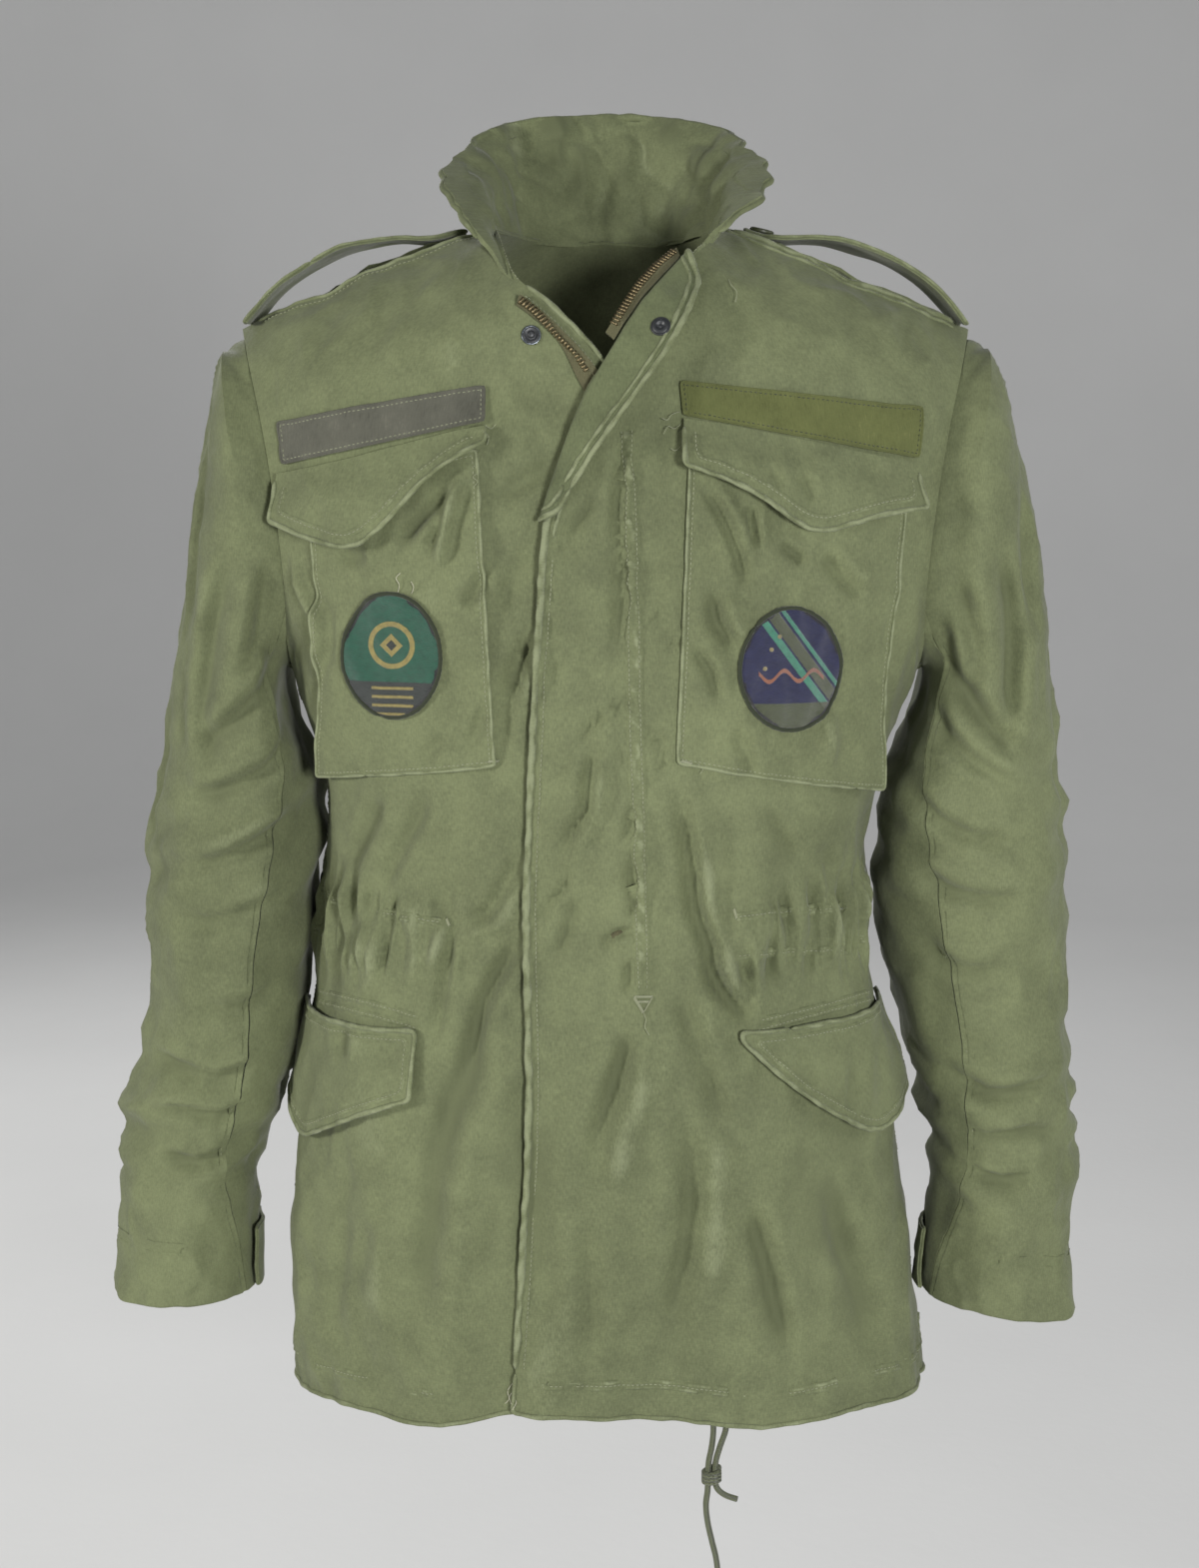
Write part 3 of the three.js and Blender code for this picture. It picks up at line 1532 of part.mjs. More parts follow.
function addTurned( name, colour, place, out, radius, height, metalness ) {

	const rim = height * 0.3;
	const profile = [
		[ 0, 0 ],
		[ radius * 0.8, 0 ],
		[ radius, rim ],
		[ radius, height - rim ],
		[ radius * 0.8, height ],
		[ radius * 0.6, height - rim ],
		[ 0, height - rim ],
	].map( ( [ x, y ] ) => new THREE.Vector2( x, y ) );
	const mesh = addMesh( name, new THREE.LatheGeometry( profile, LATHE_SIDES ), colour, 0.4, metalness );
	mesh.position.copy( place.p ).addScaledVector( place.n, out );
	mesh.quaternion.setFromUnitVectors( new THREE.Vector3( 0, 1, 0 ), place.n );

}

function addFasteners() {

	for ( const side of [ - 1, 1 ] ) {

		const p = epauletPoint( side, BUTTON.x, 0 );
		const before = epauletPoint( side, BUTTON.x - 3, 0 );
		const after = epauletPoint( side, BUTTON.x + 3, 0 );
		const along = after.sub( before ).multiplyScalar( side );
		const n = new THREE.Vector3( - along.z, 0, along.x ).normalize();
		addTurned( `epaulet_button_${ wearerSide( side ) }`, COLOURS.button, { p, n },
			WALL / 2 + 0.5, BUTTON.radius, BUTTON.height, 0 );

	}

	const turn = frontTurn( SNAP_RIGHT.x, SNAP_RIGHT.z );
	const stud = frontPoint( - 1, turn, SNAP_RIGHT.z, 0 );
	addTurned( 'snap_right', COLOURS.black, stud, WALL / 2 + REST_GAP, SNAP.radius, SNAP.height, 0.6 );

	const { edge, free } = rolledEdge( SNAP_LEFT_ROW );
	const folded = edge.p.clone().addScaledVector( edge.n, 2 * ROLL_RADIUS );
	const socket = folded.lerp( free, SNAP_LEFT_ACROSS );
	const above = rolledEdge( SNAP_LEFT_ROW - 0.3 );
	const below = rolledEdge( SNAP_LEFT_ROW + 0.3 );
	const down = below.free.clone().add( below.edge.p ).sub( above.free ).sub( above.edge.p );
	const across = free.clone().sub( edge.p ).addScaledVector( edge.n, - 2 * ROLL_RADIUS );
	const n = new THREE.Vector3().crossVectors( down, across ).normalize();
	const rest = WALL / 2 + REST_GAP;
	addTurned( 'snap_left', COLOURS.black, { p: socket, n }, rest, SNAP.radius, SNAP.height, 0.6 );

}

// Zip: tapes with a raised row of teeth, as strips along the front edges

function edgePlace( side, row ) {

	const edge = edges[ wearerSide( side ) ];
	if ( row <= ARMHOLE_ROWS ) return { x: edge.x( row ), z: edge.z( row ) };
	const z = - 184 - ( row - ARMHOLE_ROWS ) * 40;
	return { x: edge.below( z ), z };

}

function tapeEdge( row ) {

	return mix( 13, 21, smooth( 5, 7, row ) );

}

function zipStrip( name, fromRow, toRow, count, columns ) {

	const rows = [];

	for ( let j = 0; j <= count; j ++ ) {

		const row = mix( fromRow, toRow, j / count );
		const here = edgePlace( - 1, row );
		const next = edgePlace( - 1, row + 0.1 );
		const length = Math.hypot( next.x - here.x, next.z - here.z );
		const inwardX = ( next.z - here.z ) / length;
		const inwardZ = - ( next.x - here.x ) / length;

		rows.push( columns.map( ( column, i ) => {

			const inward = column.inward ?? tapeEdge( row );
			const x = here.x + inwardX * inward;
			const z = here.z + inwardZ * inward;
			const out = WALL / 2 + ZIP_REST + column.thick / 2;
			return { s: i, t: column.thick, ...frontPoint( - 1, frontTurn( x, z ), z, out ) };

		} ) );

	}

	addCloth( name, COLOURS.brass, rows );

}

function addZip() {

	const teeth = TRIM_WALL + ZIP_TOOTH_HEIGHT;

	zipStrip( 'zip_right', 3.5, 7.9, 12, [
		{ thick: TRIM_WALL },
		{ inward: 11.5, thick: TRIM_WALL },
		{ inward: 11, thick: teeth },
		{ inward: 7.5, thick: teeth },
	] );

	zipStrip( 'zip_closed', 8.6, ARMHOLE_ROWS + ( - 184 - ZIP_BOTTOM_Z ) / 40, 16, [
		{ thick: TRIM_WALL },
		{ inward: 12, thick: TRIM_WALL },
		{ inward: 11, thick: teeth },
		{ inward: 6, thick: teeth },
		{ inward: 2, thick: TRIM_WALL },
	] );

	const rows = [];

	for ( let row = 3.2; row <= 6.3; row += 0.31 ) {

		const { edge, way } = rolledEdge( row );
		const start = edge.p.clone().addScaledVector( edge.n, ROLL_RADIUS );

		rows.push( [ 5, 8, 8.6, 12 ].map( ( reach, i ) => ( {
			s: i,
			p: start.clone().addScaledVector( way, - reach ),
			n: edge.n,
			t: i < 2 ? TRIM_WALL : teeth,
		} ) ) );

	}

	addCloth( 'zip_left', COLOURS.brass, rows );

	const slot = edgePlace( - 1, 8.25 );
	const rest = frontPoint( - 1, frontTurn( slot.x - 9, slot.z ), slot.z, WALL / 2 + 0.5 );
	addTurned( 'zip_slider', COLOURS.brass, rest, 0, 5.5, 3, 0.7 );

}

// Drawcord of the hem: two ends and the knot that holds them

function addCord( name, points ) {

	const places = points.map( ( point ) => new THREE.Vector3( point.x, point.y, point.z ) );
	const path = new THREE.CatmullRomCurve3( places );
	const section = new THREE.Shape();

	for ( let i = 0; i < CORD_SIDES; i ++ ) {

		const angle = 2 * Math.PI * i / CORD_SIDES;
		const x = CORD_RADIUS * Math.cos( angle );
		const y = CORD_RADIUS * Math.sin( angle );
		if ( i === 0 ) section.moveTo( x, y );
		else section.lineTo( x, y );

	}

	const steps = points.length + 3;
	const geometry = new THREE.ExtrudeGeometry( section, { steps, extrudePath: path, bevelEnabled: false } );
	addMesh( name, geometry, COLOURS.cord, 0.9, 0 );

}

function addKnot() {

	const { inner, outer, height } = KNOT;
	const profile = [
		[ inner, - height * 0.35 ],
		[ ( inner + outer ) / 2, - height / 2 ],
		[ outer, - height * 0.3 ],
		[ outer, height * 0.3 ],
		[ ( inner + outer ) / 2, height / 2 ],
		[ inner, height * 0.35 ],
		[ inner, - height * 0.35 ],
	].map( ( [ x, y ] ) => new THREE.Vector2( x, y ) );
	const mesh = addMesh( 'cord_knot', new THREE.LatheGeometry( profile, LATHE_SIDES ), COLOURS.cord, 0.9, 0 );
	mesh.rotation.x = Math.PI / 2;
	mesh.position.set( KNOT.x, KNOT.y, KNOT.z );

}

addBack();

for ( const side of [ - 1, 1 ] ) {

	addFront( side );
	addSleeve( side );
	addCuffTab( side );
	addEpaulet( side );
	addChestPocket( side );
	addChestFlap( side );
	addHipFlap( side );
	addTape( side );
	addPatch( side );

}

addFacing();
addCollar();
addFasteners();
addZip();
addCord( 'cord_long', CORD_LONG );
addCord( 'cord_short', CORD_SHORT );
addKnot();

export default group;
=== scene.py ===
"""Looks of a field jacket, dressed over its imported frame: cloth with its creases, rolled edges, seams,
stitches, zip, snaps, buttons, tapes, patches and drawcord. Metres, +Z up, front towards -Y."""

import math

import bmesh
import bpy
import numpy as np
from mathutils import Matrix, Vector, kdtree, noise
from mathutils.bvhtree import BVHTree


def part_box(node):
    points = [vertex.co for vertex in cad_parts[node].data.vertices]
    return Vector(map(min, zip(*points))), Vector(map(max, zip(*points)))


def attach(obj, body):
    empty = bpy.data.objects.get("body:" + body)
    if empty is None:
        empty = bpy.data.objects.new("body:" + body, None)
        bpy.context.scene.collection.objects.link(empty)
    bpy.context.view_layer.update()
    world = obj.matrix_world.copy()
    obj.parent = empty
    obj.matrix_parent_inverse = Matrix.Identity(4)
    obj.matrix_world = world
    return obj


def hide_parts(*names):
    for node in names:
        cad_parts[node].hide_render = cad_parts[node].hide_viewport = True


bl_info = {
    "name": "Field jacket looks",
    "version": (1, 0, 0),
    "blender": (4, 5, 0),
    "location": "3D View > Sidebar > Jacket",
    "description": "Dresses the packed field jacket with cloth, seams, zip and trim",
    "category": "Object",
}

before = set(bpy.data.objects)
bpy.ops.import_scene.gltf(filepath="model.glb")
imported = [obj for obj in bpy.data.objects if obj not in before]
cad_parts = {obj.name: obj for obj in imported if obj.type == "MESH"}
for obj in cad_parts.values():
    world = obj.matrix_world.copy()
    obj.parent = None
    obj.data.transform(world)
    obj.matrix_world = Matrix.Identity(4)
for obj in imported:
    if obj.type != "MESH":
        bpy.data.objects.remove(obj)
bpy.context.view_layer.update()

MM = 0.001

# The camera: pitch in degrees, lens in millimetres, and its picture in pixels
CAMERA_PLACE = (-0.004, -1.5507, -0.1244)
CAMERA_PITCH = 81
CAMERA_LENS = 52.77
SENSOR_WIDTH = 36
FOCAL_PIXELS = 2300
PHOTO = (1200, 1569)

# The floor, and the backdrop that bends up from it
FLOOR_Z = -1.25
BACKDROP_HALF = 7.0
BACKDROP_START = 3.6
BACKDROP_BEND = 1.6
BACKDROP_TOP = 4.5

# Millimetres of cloth for a degree round the body and round a sleeve
BODY_TURN = 2.8
SLEEVE_TURN = 1.15

# Heights between which edges are sewn differently: the hem, the cuffs and the turned lapel
HEM_LINE = -0.735
CUFF_LINE = -0.665
LAPEL_LINE = -0.2

# Cloth pieces, the points of their outer borders, and the finishes, by name
cloth = {}
rims = {}
finish = {}


# Shader maths


class Flow:
    """A number in a material's nodes; arithmetic on it adds Math nodes."""

    def __init__(self, paint, socket):
        self.paint = paint
        self.socket = socket

    def __add__(self, other):
        return self.paint.maths("ADD", self, other)

    __radd__ = __add__

    def __sub__(self, other):
        return self.paint.maths("SUBTRACT", self, other)

    def __rsub__(self, other):
        return self.paint.maths("SUBTRACT", other, self)

    def __mul__(self, other):
        return self.paint.maths("MULTIPLY", self, other)

    def __pow__(self, other):
        return self.paint.maths("POWER", self, other)


class Paint:
    """One procedural material: a Principled shader with what varies linked into it."""

    def __init__(self, name, **constants):
        self.material = bpy.data.materials.new(name)
        self.material.use_nodes = True
        self.tree = self.material.node_tree
        self.shader = self.tree.nodes["Principled BSDF"]
        for socket, value in constants.items():
            self.shader.inputs[socket.replace("_", " ")].default_value = value
        self.place = self.node("ShaderNodeTexCoord").outputs["Object"]

    def node(self, kind, settings=None, **inputs):
        """A node of a type, its settings set first, then the values or links of its sockets."""
        made = self.tree.nodes.new(kind)
        for key, value in (settings or {}).items():
            setattr(made, key, value)
        for key, value in inputs.items():
            found = made.inputs[int(key[1:])] if key[0] == "i" and key[1:].isdigit() else made.inputs[key]
            self.feed(found, value)
        return made

    def feed(self, socket, value):
        """Links a flow or a socket into a socket, or sets its value."""
        if isinstance(value, Flow):
            value = value.socket
        if isinstance(value, bpy.types.NodeSocket):
            self.tree.links.new(value, socket)
        else:
            socket.default_value = value

    def maths(self, operation, *values):
        inputs = {f"i{k}": value for k, value in enumerate(values)}
        made = self.node("ShaderNodeMath", {"operation": operation}, **inputs)
        return Flow(self, made.outputs[0])

    def noise(self, scale, detail=3, place=None, roughness=0.5):
        made = self.node(
            "ShaderNodeTexNoise", Vector=place or self.place, Scale=scale, Detail=detail, Roughness=roughness
        )
        return Flow(self, made.outputs["Fac"])

    def ramp(self, flow, low, high):
        """0 below low, 1 above high, smooth between."""
        limits = {"From Min": low, "From Max": high}
        made = self.node("ShaderNodeMapRange", {"interpolation_type": "SMOOTHSTEP"}, Value=flow, **limits)
        return Flow(self, made.outputs["Result"])

    def mix(self, factor, first, second):
        """A colour between two colours."""
        made = self.node("ShaderNodeMix", {"data_type": "RGBA"}, i0=factor, i6=first, i7=second)
        return made.outputs[2]

    def attribute(self, name):
        """A number stored on the mesh's points."""
        return Flow(self, self.node("ShaderNodeAttribute", {"attribute_name": name}).outputs["Fac"])

    def attribute_place(self, name):
        """A place stored on the mesh's points."""
        return self.node("ShaderNodeAttribute", {"attribute_name": name}).outputs["Vector"]

    def stretch(self, place, scale):
        """A place scaled along its axes."""
        return self.node("ShaderNodeVectorMath", {"operation": "MULTIPLY"}, i0=place, i1=scale).outputs[0]

    def split(self, place):
        made = self.node("ShaderNodeSeparateXYZ", Vector=place)
        return [Flow(self, made.outputs[k]) for k in range(3)]

    def finish(self, colour, roughness, relief, depth):
        """Links the colour, any varied roughness, and a relief that stands out by a depth in metres."""
        self.feed(self.shader.inputs["Base Color"], colour)
        if roughness is not None:
            self.feed(self.shader.inputs["Roughness"], roughness)
        bump = self.node("ShaderNodeBump", Height=relief, Distance=depth, Strength=1.0)
        self.feed(self.shader.inputs["Normal"], bump.outputs["Normal"])
        return self.material


def linear(red, green, blue):
    """A screen colour of 0 to 255 as the linear colour that a shader takes."""
    parts = []
    for value in (red, green, blue):
        value = value / 255
        parts.append(value / 12.92 if value < 0.04045 else ((value + 0.055) / 1.055) ** 2.4)
    return (*parts, 1.0)


def shaded(colour, share):
    """A colour made darker or lighter."""
    return tuple(min(share * c, 1) for c in colour[:3]) + (1.0,)


def sateen(name, colour, worn, wear=0.55, depth=0.0003):
    """Worn cotton sateen: fine threads, soft mottling, paler cloth where it is rubbed, and painted shade
    where the stored value falls below zero.
    """
    paint = Paint(name, Sheen_Weight=0.12, Sheen_Roughness=0.45, Specular_IOR_Level=0.22)
    place = paint.place
    along = paint.attribute_place("grain")
    broad = paint.noise(5, 2)
    mottle = paint.noise(38, 4, roughness=0.6)
    speck = paint.noise(420, 2, roughness=0.7)
    threads = paint.noise(1, 2, paint.stretch(along, (1700, 260, 1)))
    cross = paint.noise(1, 2, paint.stretch(along, (300, 1500, 1)))
    tone = (broad - 0.5) * 0.5 + (mottle - 0.5) * 0.55 + (speck - 0.5) * 0.35
    tone = tone + (threads - 0.5) * 0.5 + (cross - 0.5) * 0.25
    base = paint.mix(paint.ramp(tone, -0.42, 0.42), shaded(colour, 0.66), shaded(colour, 1.36))
    rub_and_hollow_shade = paint.attribute("worn")
    # Painted shade: the colour is darkened where the stored value is below zero, in crease hollows, stitch
    # grooves and pucker troughs.
    base = paint.mix(paint.ramp(rub_and_hollow_shade + (mottle - 0.5) * 0.4, -1.0, -0.05), shaded(colour, 0.80), base)
    rubbed = paint.ramp(rub_and_hollow_shade + (mottle - 0.5) * 0.6 + (threads - 0.5) * 0.5, 0.35, 1.15) * wear
    shade = paint.mix(rubbed, base, worn)
    relief = threads * 0.5 + cross * 0.35 + speck * 0.25
    relief = relief + paint.noise(120, 4) * 1.6 + paint.noise(34, 3) * 2.4
    return paint.finish(shade, 0.8 + (mottle - 0.5) * 0.2, relief, depth)


# Meshes

WELD_DISTANCE = 2e-5
SHARP_FOLD = math.radians(50)


def only(obj):
    """Selects one object alone."""
    bpy.ops.object.select_all(action="DESELECT")
    obj.select_set(True)
    bpy.context.view_layer.objects.active = obj


def smooth(low, high, value):
    t = np.clip((value - low) / (high - low), 0, 1)
    return t * t * (3 - 2 * t)


def points_of(obj):
    flat = np.empty(len(obj.data.vertices) * 3)
    obj.data.vertices.foreach_get("co", flat)
    return flat.reshape(-1, 3)


def set_points(obj, points):
    obj.data.vertices.foreach_set("co", points.ravel())
    obj.data.update()


def store(obj, name, values):
    """Stores a number or a place on each point of a mesh for its material."""
    kind = "FLOAT_VECTOR" if values.ndim == 2 else "FLOAT"
    layer = obj.data.attributes.new(name, kind, "POINT")
    layer.data.foreach_set("vector" if values.ndim == 2 else "value", values.astype(np.float32).ravel())


def add_object(name, points, faces, material):
    """A new piece from points and faces, smooth shaded, riding on the garment."""
    mesh = bpy.data.meshes.new(name)
    mesh.from_pydata([tuple(p) for p in points], [], faces)
    mesh.update()
    obj = bpy.data.objects.new(name, mesh)
    bpy.context.scene.collection.objects.link(obj)
    mesh.materials.append(material)
    mesh.polygons.foreach_set("use_smooth", [True] * len(mesh.polygons))
    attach(obj, "root")
    return obj


def face_regions(bm, sharp):
    """The faces of a mesh in groups that its sharp edges part, the largest first."""
    left = set(bm.faces)
    regions = []
    while left:
        stack = [left.pop()]
        region = []
        while stack:
            face = stack.pop()
            region.append(face)
            for edge in face.edges:
                if edge in sharp:
                    continue
                for near in edge.link_faces:
                    if near in left:
                        left.remove(near)
                        stack.append(near)
        regions.append(region)
    regions.sort(key=lambda region: sum(face.calc_area() for face in region), reverse=True)
    return regions


def region_reach(region):
    """How far out from the middle of the garment a group of faces lies."""
    middles = [face.calc_center_median() for face in region]
    return sum(abs(middle.y) + abs(middle.x) for middle in middles) / len(region)


def mark_rims(bm):
    """Creases the sharp borders of a wall of cloth, and marks the points of its outer border."""
    crease = bm.edges.layers.float.new("crease_edge")
    border = bm.edges.layers.float.new("border")
    layer = bm.verts.layers.float.new("outer")
    sharp = set()
    for edge in bm.edges:
        if len(edge.link_faces) == 2 and edge.calc_face_angle() > SHARP_FOLD:
            sharp.add(edge)
    first, second = face_regions(bm, sharp)[:2]
    outer = set(first if region_reach(first) > region_reach(second) else second)
    for edge in sharp:
        edge[crease] = 1.0
        edge.smooth = False
        if sum(face in outer for face in edge.link_faces) == 1:
            edge[border] = 1.0
    for face in outer:
        for vertex in face.verts:
            vertex[layer] = 1.0


def cut_cloth(node, levels, cuts=()):
    """A cloth piece copied from its CAD wall, merged into quads and subdivided with its borders kept."""
    name = f"cloth_{node}"
    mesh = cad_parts[node].data.copy()
    mesh.name = name
    mesh.materials.clear()
    bm = bmesh.new()
    bm.from_mesh(mesh)
    bmesh.ops.remove_doubles(bm, verts=bm.verts[:], dist=WELD_DISTANCE)
    mark_rims(bm)
    bmesh.ops.join_triangles(
        bm, faces=bm.faces[:], cmp_sharp=True, angle_face_threshold=0.6, angle_shape_threshold=1.4
    )
    for z in cuts:
        everything = bm.verts[:] + bm.edges[:] + bm.faces[:]
        bmesh.ops.bisect_plane(bm, geom=everything, dist=1e-5, plane_co=(0, 0, z), plane_no=(0, 0, 1))
    bm.to_mesh(mesh)
    bm.free()
    obj = bpy.data.objects.new(name, mesh)
    bpy.context.scene.collection.objects.link(obj)
    only(obj)
    finer = obj.modifiers.new("finer", "SUBSURF")
    finer.levels = levels
    finer.render_levels = levels
    bpy.ops.object.modifier_apply(modifier="finer")
    obj.data.polygons.foreach_set("use_smooth", [True] * len(obj.data.polygons))
    bpy.ops.object.shade_smooth_by_angle(angle=SHARP_FOLD)
    cloth[node] = obj
    rims[node] = border_loop(obj)
    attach(obj, "root")
    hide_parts(node)


def border_loop(obj):
    """The outer border of a cloth piece as one ordered list of point numbers."""
    marked = np.empty(len(obj.data.edges), np.float32)
    obj.data.attributes["border"].data.foreach_get("value", marked)
    near = {}
    for k in np.nonzero(marked > 0.5)[0]:
        a, b = obj.data.edges[k].vertices
        near.setdefault(a, []).append(b)
        near.setdefault(b, []).append(a)
    if not near:
        raise RuntimeError(f"{obj.name} has no border")
    spot = {k: obj.data.vertices[k].co for k in near}

    def straightest(here, before, seen):
        ahead = [k for k in near[here] if k not in seen]
        if not ahead:
            return None
        if before is None or len(ahead) == 1:
            return ahead[0]
        way = (spot[here] - spot[before]).normalized()
        return max(ahead, key=lambda k: way.dot((spot[k] - spot[here]).normalized()))

    best = []
    best_length = 0.0
    seen = set()
    for start in near:
        if start in seen:
            continue
        loop = [start]
        seen.add(start)
        for _ in range(2):
            while True:
                step = straightest(loop[-1], loop[-2] if len(loop) > 1 else None, seen)
                if step is None:
                    break
                loop.append(step)
                seen.add(step)
            loop.reverse()
        length = sum((spot[a] - spot[b]).length for a, b in zip(loop, loop[1:]))
        if length > best_length:
            best, best_length = loop, length
    return best


# Places on the cloth

# How flat the body's round is, and how far off its sides and back are looked for
BODY_FLATNESS = 0.6
OUTSIDE = 0.6
CORNER = math.radians(55)
CORNER_REACH = 3


class Skin:
    """The cloth as it stands, for finding the place and the outward direction of a seam or a stitch."""

    def __init__(self, nodes):
        points = []
        faces = []
        for node in nodes:
            start = len(points)
            mesh = cloth[node].data
            points += [v.co.copy() for v in mesh.vertices]
            faces += [tuple(start + k for k in face.vertices) for face in mesh.polygons]
        self.tree = BVHTree.FromPolygons(points, faces)

    def cast(self, start, way):
        place, normal, _, _ = self.tree.ray_cast(Vector(start), Vector(way))
        if place is None:
            return None
        return place, normal

    def around(self, turn, z):
        """The side or back at a turn in degrees, 90 at the wearer's left and 180 behind."""
        angle = math.radians(turn)
        away = Vector((math.sin(angle), -math.cos(angle) * BODY_FLATNESS, 0)).normalized()
        return self.cast(Vector((0, 0, z * MM)) + away * OUTSIDE, -away)

    def seen(self, u, v):
        """The cloth behind a point of the camera's picture, in pixels of the whole picture."""
        tilt = math.radians(CAMERA_PITCH)
        a = (u - PHOTO[0] / 2) / FOCAL_PIXELS
        b = (PHOTO[1] / 2 - v) / FOCAL_PIXELS
        way = Vector((a, b * math.cos(tilt) + math.sin(tilt), b * math.sin(tilt) - math.cos(tilt)))
        return self.cast(CAMERA_PLACE, way.normalized())

    def nearest(self, place):
        found, normal, _, distance = self.tree.find_nearest(place)
        return found, normal, distance


def even_path(path, step):
    """A path of places and normals at even steps along it."""
    made = [path[0]]
    carry = 0.0
    for (a, na), (b, nb) in zip(path, path[1:]):
        length = (b - a).length
        if length < 1e-9:
            continue
        at = step - carry
        while at <= length:
            t = at / length
            made.append((a.lerp(b, t), na.lerp(nb, t).normalized()))
            at += step
        carry = length - (at - step)
    return made


def curve_points(points, step=4):
    """Points every few millimetres on a smooth curve through given ones."""
    flat = [Vector(p) for p in points]
    if len(flat) == 2:
        flat = [flat[0], flat[0].lerp(flat[1], 0.5), flat[1]]
    made = []
    for k in range(len(flat) - 1):
        before = flat[max(k - 1, 0)]
        after = flat[min(k + 2, len(flat) - 1)]
        a, b = flat[k], flat[k + 1]
        count = max(int((b - a).length / step), 1)
        for i in range(count):
            t = i / count
            made.append(
                0.5 * (2 * a + (b - before) * t + (2 * before - 5 * a + 4 * b - after) * t * t
                       + (3 * a - before - 3 * b + after) * t ** 3)
            )
    made.append(flat[-1])
    return made


def front_path(skin, points):
    """A line drawn on the camera's picture in pixels, as places and normals on the cloth."""
    found = [skin.seen(p.x, p.y) for p in curve_points(points, 6)]
    return [hit for hit in found if hit]


def around_path(skin, points):
    """A line drawn round the side or back, as places and normals; its points are turns and heights."""
    line = curve_points([(turn * BODY_TURN, z) for turn, z in points])
    found = [skin.around(p.x / BODY_TURN, p.y) for p in line]
    return [hit for hit in found if hit]


def border_runs(node, test):
    """The stretches of a piece's outer border whose points pass a test, as places and normals."""
    obj = cloth[node]
    loop = rims[node]
    mesh = obj.data
    outer = np.empty(len(mesh.vertices), np.float32)
    mesh.attributes["outer"].data.foreach_get("value", outer)
    normals = {}
    wanted = set(loop)
    for face in mesh.polygons:
        corners = face.vertices
        if min(outer[k] for k in corners) < 0.999:
            continue
        for k in corners:
            if k in wanted:
                normals.setdefault(k, Vector()).__iadd__(face.normal)
    entries = []
    for k in loop:
        place = mesh.vertices[k].co.copy()
        normal = normals.get(k, mesh.vertices[k].normal).normalized()
        entries.append((place, normal))
    flags = [bool(test(place)) for place, _ in entries]
    if all(flags):
        return [entries + entries[:1]]
    start = flags.index(False)
    entries = entries[start:] + entries[:start]
    flags = flags[start:] + flags[:start]
    runs = []
    run = []
    for entry, flag in zip(entries, flags):
        if flag:
            run.append(entry)
        elif run:
            runs.append(run)
            run = []
    if run:
        runs.append(run)
    return [run for run in runs if len(run) > 3]


def split_at_corners(run):
    """Cuts a run wherever it turns sharply."""
    cuts = [0]
    for k in range(CORNER_REACH, len(run) - CORNER_REACH):
        before = run[k][0] - run[k - CORNER_REACH][0]
        after = run[k + CORNER_REACH][0] - run[k][0]
        if before.length < 1e-9 or after.length < 1e-9:
            continue
        if before.angle(after) > CORNER and k - cuts[-1] > 2 * CORNER_REACH:
            cuts.append(k)
    cuts.append(len(run) - 1)
    return [run[a : b + 1] for a, b in zip(cuts, cuts[1:]) if b - a > 3]


def everywhere(place):
    """The test that every place passes."""
    return True


def close_to(nodes, reach):
    """A test of whether a place is within reach of some other pieces of cloth."""
    skin = Skin(nodes)

    def test(place):
        found, _, _ = skin.nearest(place)
        return found is not None and (found - place).length < reach

    return test


def away_from(nodes, reach):
    """A test of whether a place is beyond reach of some other pieces of cloth."""
    near = close_to(nodes, reach)

    def test(place):
        return not near(place)

    return test


def below(height):
    """A test of whether a place is lower than a height."""

    def test(place):
        return place.z < height

    return test


def seam_runs(node, others, reach=0.0045):
    """The stretches of a piece's border that are sewn to other pieces."""
    made = []
    for run in border_runs(node, close_to(others, reach)):
        made += split_at_corners(run)
    return [run for run in made if len(run) > 8]


def tree_of(places):
    """A search tree over places."""
    tree = kdtree.KDTree(len(places))
    for k, place in enumerate(places):
        tree.insert(place, k)
    tree.balance()
    return tree


def distances(tree, points):
    """How far each point lies from the nearest place of a tree."""
    return np.array([tree.find(point)[2] for point in points])


# Creases. A row of the tables is a line of points in millimetres, its half width, its height, and how
# far a hollow lies beside it; heights below nothing are troughs.

